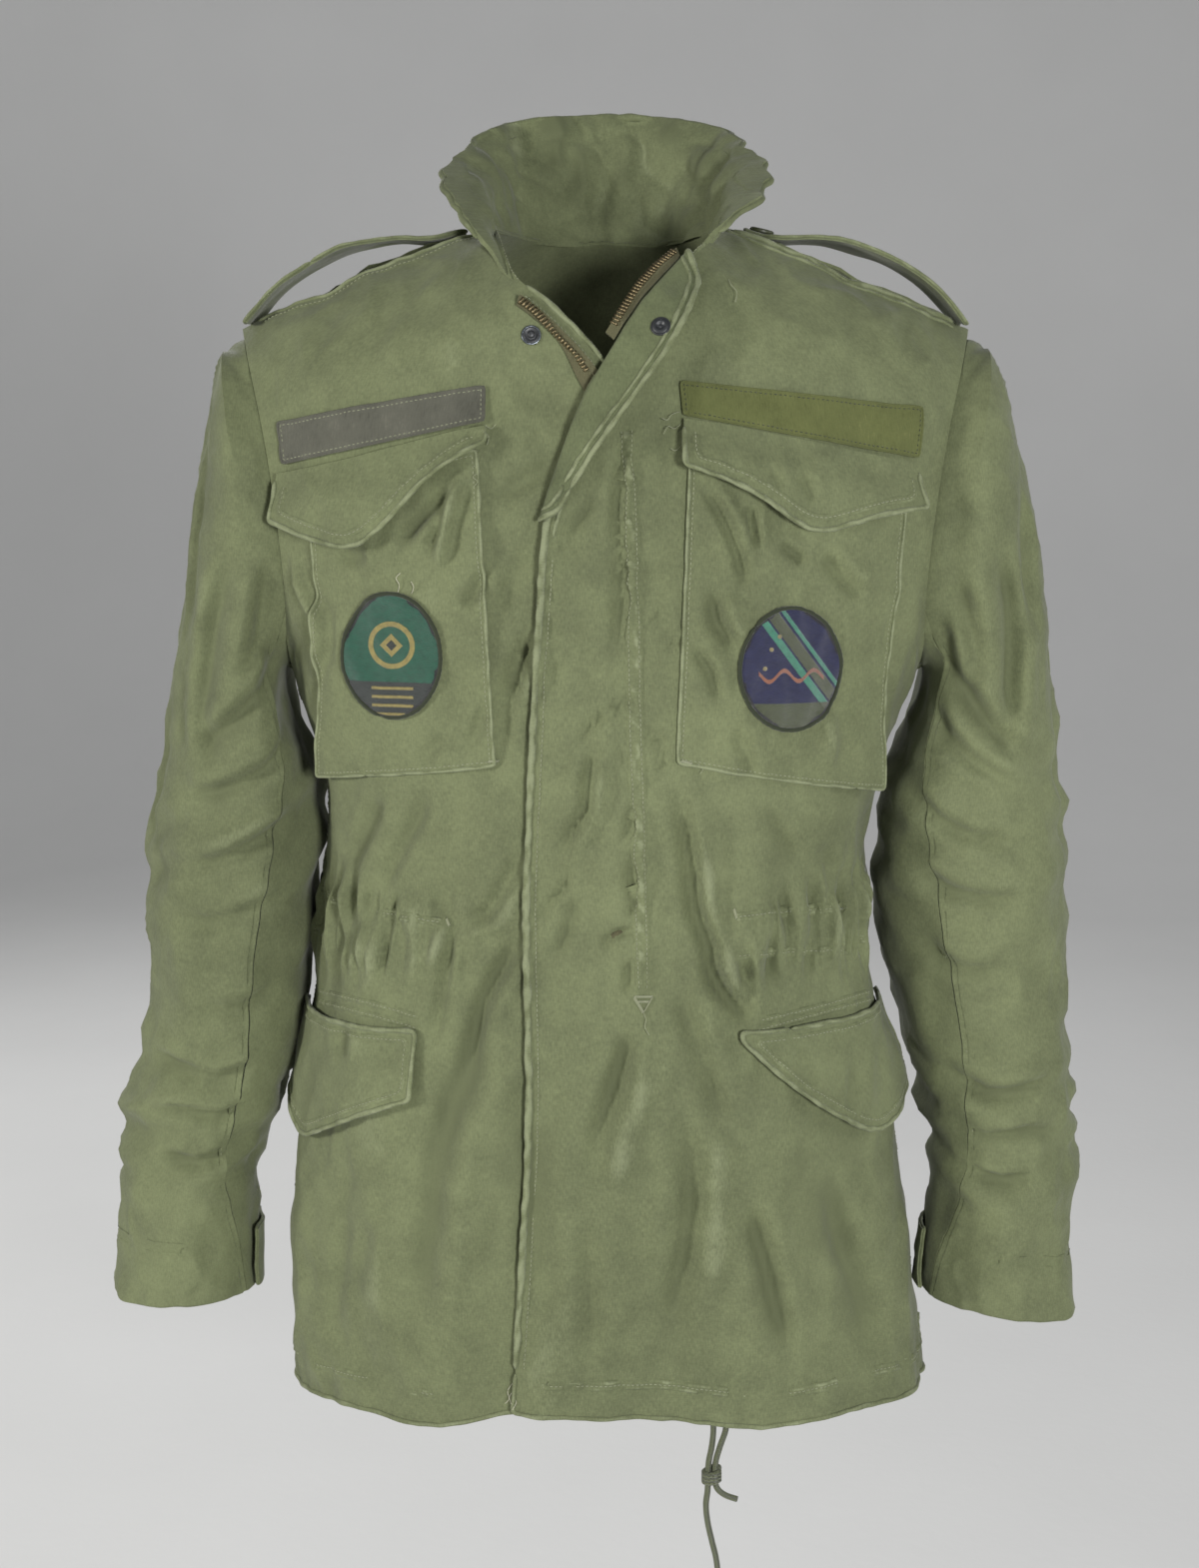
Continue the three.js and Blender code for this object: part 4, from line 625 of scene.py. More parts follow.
FRONT_CREASES = [
    ([(13, -128), (7, -180), (10, -220), (8, -260), (12, -278)], 4, -2.6, 0.5),
    ([(13, -290), (14, -298), (7, -302), (0, -305), (-10, -314), (-18, -327)], 4, -2.2, 0.4),
    ([(4, -286), (7, -290), (4, -294)], 3, -1.2, 0.3),
    ([(-36, -204), (-29, -200), (-19, -187), (-9, -171)], 6, -1.8, 0.5),
    ([(-33, -210), (-25, -206), (-15, -196)], 4, -1.2, 0.3),
    ([(-39, -249), (-33, -254), (-29, -264)], 4, -1.4, 0.4),
    ([(-40, -266), (-34, -273), (-30, -289)], 4, -1.5, 0.4),
    ([(-41, -220), (-34, -229), (-31, -239)], 4, -1.3, 0.4),
    ([(-47, -253), (-52, -274), (-61, -299)], 6, -3.4, 0.5),
    ([(-25, -147), (-41, -158), (-56, -165), (-71, -175)], 8, -1.8, 0.4),
    ([(-50, -203), (-57, -223), (-66, -243)], 8, -1.6, 0.4),
    ([(26, -246), (31, -245), (37, -243)], 3, -1.3, 0.3),
    ([(32, -250), (41, -260), (47, -272)], 4, -1.8, 0.4),
    ([(25, -314), (30, -322), (39, -326)], 4, -1.6, 0.4),
    ([(58, -161), (72, -182), (82, -205), (88, -232)], 5, -2.4, 0.6),
    ([(90, -174), (91, -189), (94, -205)], 4, -2.2, 0.5),
    ([(107, -199), (115, -205), (122, -209), (120, -215)], 4, -2.0, 0.4),
    ([(134, -203), (148, -222), (166, -238)], 7, -2.4, 0.5),
    ([(66, -228), (70, -249), (84, -268)], 6, -2.2, 0.6),
    ([(77, -229), (81, -248), (85, -267)], 6, 1.4, 0.3),
    ([(53, -262), (66, -280), (72, -303)], 5, -1.8, 0.5),
    ([(83, -314), (88, -334), (91, -351)], 7, -1.8, 0.4),
    ([(140, -301), (143, -327), (139, -350)], 9, 1.6, 0.4),
    ([(117, -156), (124, -164), (130, -176)], 5, -1.5, 0.4),
    ([(99, -153), (105, -159), (110, -167)], 5, -1.2, 0.4),
    ([(-86, -154), (-96, -174), (-103, -206), (-106, -224)], 5, 2.2, 0.7),
    ([(-93, -162), (-106, -176), (-122, -192), (-132, -204)], 6, -2.4, 0.5),
    ([(-97, -169), (-105, -192), (-114, -211)], 5, -1.6, 0.4),
    ([(-203, -196), (-197, -228), (-184, -250), (-183, -266), (-194, -303)], 5, 2.0, 0.6),
    ([(-72, -213), (-81, -228), (-89, -242)], 6, -1.8, 0.4),
    ([(-101, -321), (-112, -332), (-118, -342)], 7, -1.5, 0.4),
    ([(-170, -208), (-159, -210), (-149, -206)], 7, -1.6, 0.3),
    ([(-58, -264), (-62, -298), (-66, -331)], 7, -2.0, 0.5),
    ([(-76, -298), (-81, -317), (-88, -332)], 6, -1.4, 0.4),
    ([(-157, -238), (-143, -232), (-127, -234)], 6, 1.0, 0.3),
    ([(-110, -356), (-121, -377), (-138, -409), (-152, -436)], 7, -2.4, 0.5),
    ([(-142, -358), (-159, -396), (-172, -419)], 7, -2.0, 0.5),
    ([(-68, -336), (-79, -359)], 7, -1.3, 0.4),
    ([(-51, -391), (-64, -417), (-75, -435), (-97, -446)], 7, -2.2, 0.5),
    ([(-53, -443), (-66, -470), (-79, -493), (-87, -521), (-92, -547)], 8, -3.6, 0.6),
    ([(-97, -440), (-102, -466), (-107, -498), (-115, -531)], 6, -2.0, 0.5),
    ([(-60, -512), (-66, -544)], 8, -1.4, 0.4),
    ([(-2, -324), (-10, -338), (-13, -369), (-24, -385), (-29, -402)], 5, -3.2, 0.6),
    ([(-38, -404), (-26, -405), (-25, -416), (-36, -426), (-43, -440)], 3.5, -1.7, 0.3),
    ([(-18, -326), (-33, -349)], 5, -1.2, 0.3),
    ([(14, -330), (4, -340)], 4, -1.2, 0.4),
    ([(17, -362), (13, -383), (6, -385)], 4, -1.8, 0.4),
    ([(16, -392), (15, -410), (18, -429), (12, -440)], 4, -2.2, 0.4),
    ([(19, -444), (7, -447), (0, -452), (2, -460)], 4, -2.0, 0.4),
    ([(-18, -419), (-22, -441), (-35, -466)], 6, -1.6, 0.4),
    ([(15, -462), (14, -488)], 4, -2.0, 0.4),
    ([(18, -502), (10, -531), (-1, -560), (-9, -590)], 8, -3.2, 0.6),
    ([(34, -327), (38, -342)], 4, -2.0, 0.4),
    ([(43, -343), (51, -385), (54, -406), (58, -434), (67, -460), (74, -485), (94, -512)], 7, -3.8, 0.7),
    ([(41, -476), (54, -508), (66, -544), (82, -589)], 9, -2.2, 0.5),
    ([(97, -366), (112, -388), (124, -410)], 9, -1.8, 0.5),
    ([(139, -394), (153, -426)], 7, -1.8, 0.5),
    ([(85, -464), (90, -486), (95, -507)], 6, -2.0, 0.5),
    ([(122, -521), (131, -543), (137, -564)], 7, -1.2, 0.3),
    ([(166, -542), (166, -562), (162, -576)], 6, -1.4, 0.4),
    ([(-170, -516), (-174, -541)], 6, -1.2, 0.4),
    ([(-137, -520), (-140, -541)], 6, -1.2, 0.4),
    ([(25, -517), (14, -543), (4, -568), (-12, -617)], 9, -2.4, 0.6),
    ([(45, -556), (54, -597), (54, -638), (40, -721)], 12, -3.2, 0.6),
    ([(90, -617), (106, -671), (124, -738)], 10, -3.2, 0.6),
    ([(-56, -456), (-78, -518), (-107, -585), (-118, -666), (-132, -747)], 15, -3.6, 0.6),
    ([(-154, -639), (-170, -712)], 10, -2.0, 0.5),
    ([(-12, -628), (-10, -678), (-12, -730)], 11, -1.8, 0.5),
    ([(58, -460), (79, -492), (98, -515)], 7, -2.4, 0.6),
    ([(-169, -604), (-175, -662), (-185, -738)], 10, -1.8, 0.5),
    ([(140, -605), (163, -672), (188, -754)], 12, -2.4, 0.5),
    ([(-43, -550), (-46, -624), (-38, -712)], 12, -2.0, 0.5),
]

# The sides and back: distance round the body, 252 at the side seams and 504 behind, and height
ROUND_CREASES = [
    ([(300, -150), (340, -230), (360, -320)], 12, -2.4, 0.5),
    ([(-300, -150), (-345, -240), (-362, -330)], 12, -2.4, 0.5),
    ([(326, -120), (352, -170), (380, -240)], 10, -1.6, 0.5),
    ([(-330, -116), (-360, -176), (-384, -236)], 10, -1.6, 0.5),
    ([(470, -120), (480, -220), (474, -330), (462, -420)], 14, -1.8, 0.4),
    ([(-460, -130), (-470, -240), (-455, -350), (-448, -420)], 14, -1.8, 0.4),
    ([(380, -300), (420, -350), (470, -372)], 9, -1.8, 0.5),
    ([(-370, -310), (-420, -356), (-475, -380)], 9, -1.8, 0.5),
    ([(330, -380), (372, -408), (420, -420)], 8, -1.8, 0.5),
    ([(-320, -384), (-366, -410), (-424, -424)], 8, -1.8, 0.5),
    ([(268, -240), (276, -320), (268, -400)], 10, -2.0, 0.5),
    ([(-266, -236), (-278, -330), (-270, -404)], 10, -2.0, 0.5),
    ([(420, -480), (428, -570), (440, -680), (446, -760)], 14, -2.6, 0.5),
    ([(-410, -480), (-424, -580), (-432, -740)], 14, -2.4, 0.5),
    ([(340, -480), (352, -580), (362, -720)], 13, -2.4, 0.5),
    ([(-336, -484), (-346, -590), (-352, -730)], 13, -2.4, 0.5),
    ([(490, -490), (486, -600), (488, -740)], 12, -2.0, 0.5),
    ([(-494, -500), (-484, -620), (-478, -744)], 12, -1.8, 0.5),
    ([(262, -610), (272, -680), (278, -750)], 12, -2.0, 0.5),
    ([(-258, -610), (-268, -690), (-272, -752)], 12, -2.0, 0.5),
]

# Share of its tabled half width that a crease has, the step of its line in millimetres, the share of
# its length over which it ends, and the place and spread of its hollow in half widths
CREASE_SHARPNESS = 0.74
CREASE_STEP = 12
CREASE_ENDING = 0.3
HOLLOW_PLACE = 1.7
HOLLOW_SPREAD = 1.4

# Half the body's width and depth, for the way outward and for the turn round it
OUTWARD_HALF = (0.21, 0.115)
TURN_HALF = (0.2, 0.118)


def crease_height(table, u, v):
    """Height in metres at places u, v in millimetres."""
    height = np.zeros(len(u))
    for line, broad, rise, lean in table:
        width = broad * CREASE_SHARPNESS
        points = np.array([(p.x, p.y) for p in curve_points(line, CREASE_STEP)])
        low = points.min(0) - 3 * width
        high = points.max(0) + 3 * width
        inside = np.nonzero((u > low[0]) & (u < high[0]) & (v > low[1]) & (v < high[1]))[0]
        if not len(inside):
            continue
        here = np.stack([u[inside], v[inside]], 1)
        best = np.full(len(inside), 1e9)
        run = np.zeros(len(inside))
        side = np.zeros(len(inside))
        total = np.linalg.norm(np.diff(points, axis=0), axis=1).sum()
        done = 0.0
        for a, b in zip(points, points[1:]):
            way = b - a
            length = np.linalg.norm(way)
            t = np.clip((here - a) @ way / length ** 2, 0, 1)
            off = here - a - t[:, None] * way
            distance = np.linalg.norm(off, axis=1)
            closer = distance < best
            best = np.where(closer, distance, best)
            run = np.where(closer, (done + t * length) / total, run)
            turned = way[0] * off[:, 1] - way[1] * off[:, 0]
            side = np.where(closer, np.sign(turned), side)
            done += length
        ends = smooth(0, CREASE_ENDING, run) * smooth(0, CREASE_ENDING, 1 - run)
        across = best * side / width
        shape = np.exp(-(across ** 2)) - lean * np.exp(-((across - HOLLOW_PLACE) ** 2) / HOLLOW_SPREAD)
        height[inside] += rise * MM * ends * shape
    return height


def crumple(points, size, seed):
    """Even, seeded noise of about plus or minus 1 over places in metres."""
    shift = Vector((seed * 7.3, seed * 3.1, seed * 5.7))
    places = [Vector((p[0] / size[0], p[1] / size[1], p[2] / size[2])) for p in points]
    return np.array([noise.noise(place + shift) for place in places])


def ridges(points, size, seed, height):
    """Small folds with sharp crests between flat hollows."""
    fold = 1 - np.abs(crumple(points, size, seed))
    return (fold ** 4 - 0.4) * height


def unit(ways):
    """Directions scaled to a length of one."""
    return ways / (np.linalg.norm(ways, axis=1)[:, None] + 1e-9)


def body_outward(points):
    """Away from the body, square to its flattened round, and upward over the shoulders."""
    x = points[:, 0]
    y = points[:, 1]
    across = np.sign(x) * np.abs(x / OUTWARD_HALF[0]) ** 1.4 / OUTWARD_HALF[0]
    deep = np.sign(y) * np.abs(y / OUTWARD_HALF[1]) ** 1.4 / OUTWARD_HALF[1]
    away = unit(np.stack([across, deep, np.zeros(len(x))], 1))
    away[:, 2] = 1.6 * smooth(-0.085, -0.015, points[:, 2] + np.abs(x) * 0.25)
    return unit(away)


def body_turn(points):
    """Degrees round the body: 0 in front, 90 at the wearer's left, minus 90 at the right."""
    return np.degrees(np.arctan2(points[:, 0] / TURN_HALF[0], -points[:, 1] / TURN_HALF[1]))


# Sewn details, in metres

# A band: the step along it and across it, how far its borders sink into the cloth and how far its
# middle stays above, the width of its shoulders, and the width and depth of a row of stitches in it
BAND_STEP = 0.0013
BAND_COLUMN = 0.0009
BAND_SUNK = 0.0005
BAND_LEAST = 0.0007
BAND_SHOULDER = 0.0017
GROOVE_WIDTH = 0.0009
GROOVE_DEPTH = 0.0004
# The furthest that a band or a stitch moves to lie on the cloth
BAND_REACH = 0.009
STITCH_REACH = 0.004

ROLL_STEP = 0.0015
ROLL_SIDES = 8
STITCH_PITCH = 0.0031
STITCH_SHARE = 0.68
STITCH_THICKNESS = 0.00034


class Pile:
    """Points and faces gathered for one piece, with how worn each point is, where values below zero are
    painted shade, and its place along the cloth.
    """

    def __init__(self):
        self.points = []
        self.faces = []
        self.worn = []
        self.grain = []

    def grid(self, rows, worn, grain, closed=False):
        """A net of points, row by row; a closed one is a tube with ends."""
        start = len(self.points)
        across = len(rows[0])
        for row, wear, along in zip(rows, worn, grain):
            self.points += row
            self.worn += wear
            self.grain += along
        span = across if closed else across - 1
        for j in range(len(rows) - 1):
            for i in range(span):
                a = start + j * across + i
                b = start + j * across + (i + 1) % across
                self.faces.append((a, b, b + across, a + across))
        if closed:
            self.faces.append(tuple(range(start + across - 1, start - 1, -1)))
            last = start + (len(rows) - 1) * across
            self.faces.append(tuple(range(last, last + across)))

    def tube(self, start, rings):
        """Faces over square rings of points from a number on, with both ends closed."""
        for ring in range(rings - 1):
            for i in range(4):
                a = start + 4 * ring + i
                b = start + 4 * ring + (i + 1) % 4
                self.faces.append((a, b, b + 4, a + 4))
        self.faces.append((start + 3, start + 2, start + 1, start))
        last = start + 4 * (rings - 1)
        self.faces.append((last, last + 1, last + 2, last + 3))

    def make(self, name, material, slot):
        if not self.faces:
            raise RuntimeError(f"{name} has no faces")
        obj = add_object(name, self.points, self.faces, material)
        if self.worn:
            store(obj, "worn", np.array(self.worn))
            store(obj, "grain", np.array(self.grain))
        return obj


def ease(path, times):
    """A path with its places and normals evened out."""
    for _ in range(times):
        made = [path[0]]
        for (a, na), (b, nb), (c, nc) in zip(path, path[1:], path[2:]):
            made.append(((a + b * 2 + c) / 4, (na + nb * 2 + nc).normalized()))
        made.append(path[-1])
        path = made
    return path


def frames(path):
    """Each place of a path with its normal and the way across it."""
    made = []
    for k, (place, normal) in enumerate(path):
        tangent = path[min(k + 1, len(path) - 1)][0] - path[max(k - 1, 0)][0]
        across = tangent.cross(normal)
        if across.length < 1e-12:
            continue
        made.append((place, normal, across.normalized(), tangent.normalized()))
    return made


def welt(pile, skin, path, width, height, grooves, pitch, wave, seed, twist):
    """A sewn band on the cloth, raised and puckered; gives the line of each groove for its stitches."""
    path = frames(ease(even_path(path, BAND_STEP), 3))
    if len(path) < 6:
        return []
    count = max(int(width / BAND_COLUMN), 6)
    lines = [[] for _ in grooves]
    columns = [round((groove / width + 0.5) * count) for groove in grooves]
    rows, worn, grain = [], [], []
    for k, (place, normal, across, _) in enumerate(path):
        s = k * BAND_STEP
        ending = min(min(k, len(path) - 1 - k) * BAND_STEP / 0.004, 1.0)
        row, wear, along = [], [], []
        for i in range(count + 1):
            off = (i / count - 0.5) * width
            side = min((width / 2 - abs(off)) / BAND_SHOULDER, 1.0)
            side = side * side * (3 - 2 * side)
            turn = twist * off / width
            ripple = noise.noise(Vector((s / pitch + turn, off / 0.005, seed * 3.3)))
            ripple += 0.5 * noise.noise(Vector((s / pitch * 2.3 + turn, off / 0.003, seed * 5.1)))
            dip = sum(math.exp(-(((off - groove) / GROOVE_WIDTH) ** 2)) for groove in grooves)
            full = side * ending
            rise = full * (height + BAND_SUNK + ripple * wave * 1.5 - dip * GROOVE_DEPTH)
            rise = max(rise, BAND_LEAST * full) - BAND_SUNK
            spot = place + across * off
            found, away, distance = skin.nearest(spot)
            if found is None or distance > BAND_REACH:
                found, away = spot, normal
            elif away.dot(normal) < 0.2:
                away = normal
            row.append(found + away.lerp(normal, 0.5).normalized() * rise)
            # Paler wear on the band, and values below zero that paint shade into its stitch grooves and
            # pucker troughs.
            wear.append(max(-0.6, min(1.0, 0.42 + ripple * 0.9 - dip * 0.9)) * side)
            along.append((s, off, 0.0))
        for line, column in zip(lines, columns):
            line.append((row[column], normal))
        rows.append(row)
        worn.append(wear)
        grain.append(along)
    pile.grid(rows, worn, grain)
    return lines


def ring_of(place, first, second, radius, sides):
    """Places round a centre, from its first way towards its second."""
    turns = [2 * math.pi * i / sides for i in range(sides)]
    return [place + first * (math.cos(a) * radius) + second * (math.sin(a) * radius) for a in turns]


def roll(pile, path, radius, pitch, twist, seed, flat, out, wear):
    """A rolled, sewn edge: a cord-like ridge whose puckers run slantwise round it."""
    path = frames(ease(even_path(path, ROLL_STEP), 3))
    if len(path) < 6:
        return
    rows, worn, grain = [], [], []
    for k, (place, normal, across, _) in enumerate(path):
        s = k * ROLL_STEP
        ending = 0.35 + 0.65 * min(min(k, len(path) - 1 - k) * ROLL_STEP / 0.003, 1.0)
        swell = 1 + 0.22 * noise.noise(Vector((s / 0.021, seed * 1.7, 0)))
        row, wears, along = [], [], []
        for i in range(ROLL_SIDES):
            angle = 2 * math.pi * i / ROLL_SIDES
            ripple = noise.noise(Vector((s / pitch + twist * i / ROLL_SIDES, math.cos(angle), seed * 2.9)))
            size = radius * ending * (swell + 0.34 * ripple)
            lift = normal * (out + math.sin(angle) * size * flat)
            row.append(place + lift + across * (math.cos(angle) * size))
            wears.append(max(0.0, min(1.0, wear * (0.55 + 0.45 * math.sin(angle) + 0.9 * ripple))))
            along.append((s, radius * angle, 0.0))
        rows.append(row)
        worn.append(wears)
        grain.append(along)
    pile.grid(rows, worn, grain, closed=True)


def stitches(pile, skin, path, out, seed):
    """A row of single stitches, each a small pointed loop of thread that dips at its ends."""
    path = frames(ease(even_path(path, STITCH_PITCH / 4), 2))
    for number, k in enumerate(range(2, len(path) - 4, 4), 1):
        place, normal, across, tangent = path[k]
        shift = noise.noise(Vector((number * 0.77, seed * 3.1, 0))) * 0.00022
        start = len(pile.points)
        for t, size, dip in ((-0.5, 0.5, 0.7), (0.0, 1.0, 0.0), (0.5, 0.5, 0.7)):
            spot = place + tangent * (t * STITCH_PITCH * STITCH_SHARE) + across * shift
            found, away, distance = skin.nearest(spot) if skin else (None, None, 0)
            if found is None or distance > STITCH_REACH:
                found, away = spot, normal
            middle = found + away * (out - dip * STITCH_THICKNESS)
            for a, b in ((1, 0), (0, 1), (-1, 0), (0, -1)):
                half = STITCH_THICKNESS * size
                pile.points.append(middle + across * (a * half) + away * (b * half))
        pile.tube(start, 3)


def strand(pile, points, radius, sides=5):
    """A loose thread or a cord through places, as a tube with ends."""
    line = [Vector(p) for p in points]
    rows, worn, grain = [], [], []
    side = Vector((0.3, 0.1, 1)).normalized()
    for k, place in enumerate(line):
        tangent = (line[min(k + 1, len(line) - 1)] - line[max(k - 1, 0)]).normalized()
        first = tangent.cross(side)
        if first.length < 0.1:
            first = tangent.cross(Vector((1, 0, 0)))
        first.normalize()
        rows.append(ring_of(place, first, tangent.cross(first).normalized(), radius, sides))
        worn.append([0.5] * sides)
        grain.append([(k * radius, radius * i, 0.0) for i in range(sides)])
    pile.grid(rows, worn, grain, closed=True)


# What a user would change


class JacketLooks(bpy.types.PropertyGroup):
    """Colours and sizes of the jacket's looks."""

    cloth_colour: bpy.props.FloatVectorProperty(
        name="Cloth", description="Colour of the outer cloth", subtype="COLOR", size=4,
        min=0, max=1, default=linear(100, 106, 76),
    )
    worn_colour: bpy.props.FloatVectorProperty(
        name="Worn cloth", description="Colour where the cloth is rubbed pale", subtype="COLOR", size=4,
        min=0, max=1, default=linear(140, 146, 116),
    )
    facing_colour: bpy.props.FloatVectorProperty(
        name="Inside", description="Colour of the cloth's inner face", subtype="COLOR", size=4,
        min=0, max=1, default=linear(92, 99, 70),
    )
    tape_grey: bpy.props.FloatVectorProperty(
        name="Right tape", description="Colour of the tape on the wearer's right", subtype="COLOR", size=4,
        min=0, max=1, default=linear(84, 84, 74),
    )
    tape_olive: bpy.props.FloatVectorProperty(
        name="Left tape", description="Colour of the tape on the wearer's left", subtype="COLOR", size=4,
        min=0, max=1, default=linear(88, 93, 54),
    )
    crease_depth: bpy.props.FloatProperty(
        name="Crease depth", description="How strongly the cloth is creased", min=0, max=4, default=2.9,
    )
    seam_width: bpy.props.FloatProperty(
        name="Seam width", description="Width of a felled seam", subtype="DISTANCE", unit="LENGTH",
        min=0.004, max=0.014, default=0.0085,
    )
    seam_height: bpy.props.FloatProperty(
        name="Seam height", description="How far a felled seam stands up", subtype="DISTANCE", unit="LENGTH",
        min=0.0001, max=0.002, default=0.0007,
    )
    edge_radius: bpy.props.FloatProperty(
        name="Edge radius", description="Half the thickness of a rolled edge",
        subtype="DISTANCE", unit="LENGTH", min=0.0005, max=0.004, default=0.0017,
    )
    cord_width: bpy.props.FloatProperty(
        name="Cord", description="Thickness of the drawcord", subtype="DISTANCE", unit="LENGTH",
        min=0.001, max=0.008, default=0.004,
    )


def looks():
    return bpy.context.scene.jacket_looks


# Half the width of the soft border of a mark in thread
MARK_SOFTNESS = 0.00025


def ribbed(name, colour, dark, pale, scale):
    """Ribbed tape: fine cross ribs, faded along its length."""
    paint = Paint(name, Sheen_Weight=0.1, Specular_IOR_Level=0.2)
    along = paint.attribute_place("grain")
    ribs = paint.noise(1, 2, paint.stretch(along, (scale, 160, 1)))
    fine = paint.noise(1, 2, paint.stretch(along, (350, 2400, 1)))
    faded = paint.noise(45, 4, roughness=0.65)
    tone = (ribs - 0.5) * 0.8 + (fine - 0.5) * 0.4 + (faded - 0.5) * 1.1
    shade = paint.mix(paint.ramp(tone, -0.45, 0.05), dark, colour)
    shade = paint.mix(paint.ramp(tone, 0.05, 0.6), shade, pale)
    return paint.finish(shade, 0.85, ribs * 1.2 + fine * 0.6 + faded * 0.6, 0.0004)


def thread_paint(name, colour):
    paint = Paint(name, Roughness=0.75, Sheen_Weight=0.2, Specular_IOR_Level=0.25)
    twist = paint.noise(1600, 2)
    shade = paint.mix(twist, shaded(colour, 0.6), colour)
    return paint.finish(shade, None, twist, 0.0001)


def braid_paint(name, colour):
    """Braided cord: slanting strands both ways round it."""
    paint = Paint(name, Sheen_Weight=0.2, Specular_IOR_Level=0.2)
    along, round_, _ = paint.split(paint.attribute_place("grain"))
    first = paint.maths("SINE", along * 2600 + round_ * 1500)
    second = paint.maths("SINE", along * 2600 - round_ * 1500)
    braid = paint.maths("MAXIMUM", first, second)
    tone = paint.ramp(braid * 0.5 + (paint.noise(900, 2) - 0.5) * 0.9, -0.3, 0.7)
    shade = paint.mix(tone, shaded(colour, 0.42), colour)
    return paint.finish(shade, 0.85, braid, 0.0004)


def worn_metal(name, colour, dark, roughness):
    paint = Paint(name, Metallic=1.0)
    grime = paint.noise(700, 4, roughness=0.7)
    scratch = paint.noise(1, 3, paint.stretch(paint.place, (300, 300, 2600)))
    shade = paint.mix(paint.ramp(grime + scratch * 0.4, 0.45, 0.85), dark, colour)
    return paint.finish(shade, roughness + (grime - 0.5) * 0.3, grime * 0.5 + scratch * 0.5, 0.00008)


def painted_metal(name, colour, bare):
    paint = Paint(name, Specular_IOR_Level=0.6)
    chips = paint.ramp(paint.noise(900, 4, roughness=0.75), 0.62, 0.7)
    shade = paint.mix(chips, colour, bare)
    return paint.finish(shade, 0.32 + paint.noise(500, 3) * 0.3, paint.noise(800, 3), 0.00006)


def plastic(name, colour):
    paint = Paint(name, Specular_IOR_Level=0.5)
    cloud = paint.noise(260, 3)
    shade = paint.mix(cloud, shaded(colour, 0.8), colour)
    return paint.finish(shade, 0.38 + cloud * 0.2, paint.noise(700, 3), 0.00005)


def patch_paint(name, centre, tilt, ground, rim, marks):
    """Embroidery: a ground of close stitches, a darker rim, and plain marks in other threads."""
    paint = Paint(name, Sheen_Weight=0.25, Specular_IOR_Level=0.3)
    x, _, z = paint.split(paint.place)
    lean = math.radians(tilt)
    ragged = (paint.noise(1400, 2) - 0.5) * 0.0007
    right = (x - centre[0]) * math.cos(lean) + (z - centre[1]) * math.sin(lean) + ragged
    up = (z - centre[1]) * math.cos(lean) - (x - centre[0]) * math.sin(lean) + ragged
    rows_fine = paint.maths("SINE", up * 9000 + paint.noise(500, 2) * 3)
    rows_slant = paint.maths("SINE", (right + up) * 7500 + paint.noise(500, 2) * 3)
    shade = ground
    height = rows_fine * 0.4
    for colour, mask, slant in marks(paint, right, up):
        shade = paint.mix(mask, shade, colour)
        height = height + mask * (1.2 + (rows_slant * 0.5 if slant else rows_fine * 0.2))
    edge = paint.ramp(paint.attribute("worn"), 0.5, 0.6)
    shade = paint.mix(edge, shade, rim)
    # Painted light and shade: the embroidery's colour is made brighter and darker over its stitch rows and in
    # patches.
    painted_row_light = paint.ramp(rows_fine * 0.35 + (paint.noise(300, 3) - 0.5) * 1.2, -0.7, 0.7)
    dim = paint.node("ShaderNodeMix", {"data_type": "RGBA", "blend_type": "MULTIPLY"}, i0=1.0, i6=shade,
                     i7=paint.mix(painted_row_light, (0.55, 0.55, 0.55, 1), (1.25, 1.25, 1.25, 1)))
    return paint.finish(dim.outputs[2], 0.7, height, 0.0005)


def near_to(paint, value, target, half):
    """1 where a number lies within a half width of a target, 0 beyond."""
    return inside_of(paint, paint.maths("ABSOLUTE", value - target), half)


def inside_of(paint, value, limit):
    """1 where a number is less than a limit, 0 beyond."""
    return 1 - paint.ramp(value, limit - MARK_SOFTNESS, limit + MARK_SOFTNESS)


def green_marks(paint, right, up):
    """A gold ring round a square set on its point, over three gold bars."""
    gold = linear(168, 152, 84)
    dark = linear(30, 40, 34)
    lift = up - 0.007
    far = (right * right + lift * lift) ** 0.5
    diamond = paint.maths("ABSOLUTE", right) + paint.maths("ABSOLUTE", lift)
    band = near_to(paint, far, 0.0135, 0.0016)
    core = inside_of(paint, diamond, 0.0075)
    hollow = inside_of(paint, diamond, 0.0035)
    low = inside_of(paint, up, -0.0165)
    wide = inside_of(paint, paint.maths("ABSOLUTE", right), 0.0135)
    bars = near_to(paint, paint.maths("PINGPONG", up + 0.0205, 0.0028), 0.0, 0.0009) * wide * low
    return [
        (dark, low, False), (gold, band, True), (gold, core, True), (dark, hollow, False), (gold, bars, True),
    ]


def navy_marks(paint, right, up):
    """A teal and a dark green band aslant, an orange wave across them, and gold dots."""
    teal = linear(58, 140, 112)
    green = linear(70, 78, 44)
    orange = linear(158, 96, 66)
    gold = linear(150, 138, 92)
    aslant = right * 0.8 + up * 0.6
    teal_band = near_to(paint, aslant, 0.004, 0.0022)
    green_band = near_to(paint, aslant, 0.011, 0.0036)
    thin_band = near_to(paint, aslant, 0.0175, 0.0012)
    wave = near_to(paint, up + paint.maths("SINE", right * 330) * 0.0034, -0.004, 0.0013)
    wave = wave * inside_of(paint, paint.maths("ABSOLUTE", right), 0.021)
    marks = [
        (teal, teal_band, True), (green, green_band, True), (teal, thin_band, True), (orange, wave, True),
    ]
    for a, b in ((-0.013, 0.013), (-0.017, 0.001), (-0.008, 0.021)):
        far = ((right - a) * (right - a) + (up - b) * (up - b)) ** 0.5
        marks.append((gold, inside_of(paint, far, 0.0014), False))
    marks.append((green, inside_of(paint, up, -0.0215), False))
    return marks


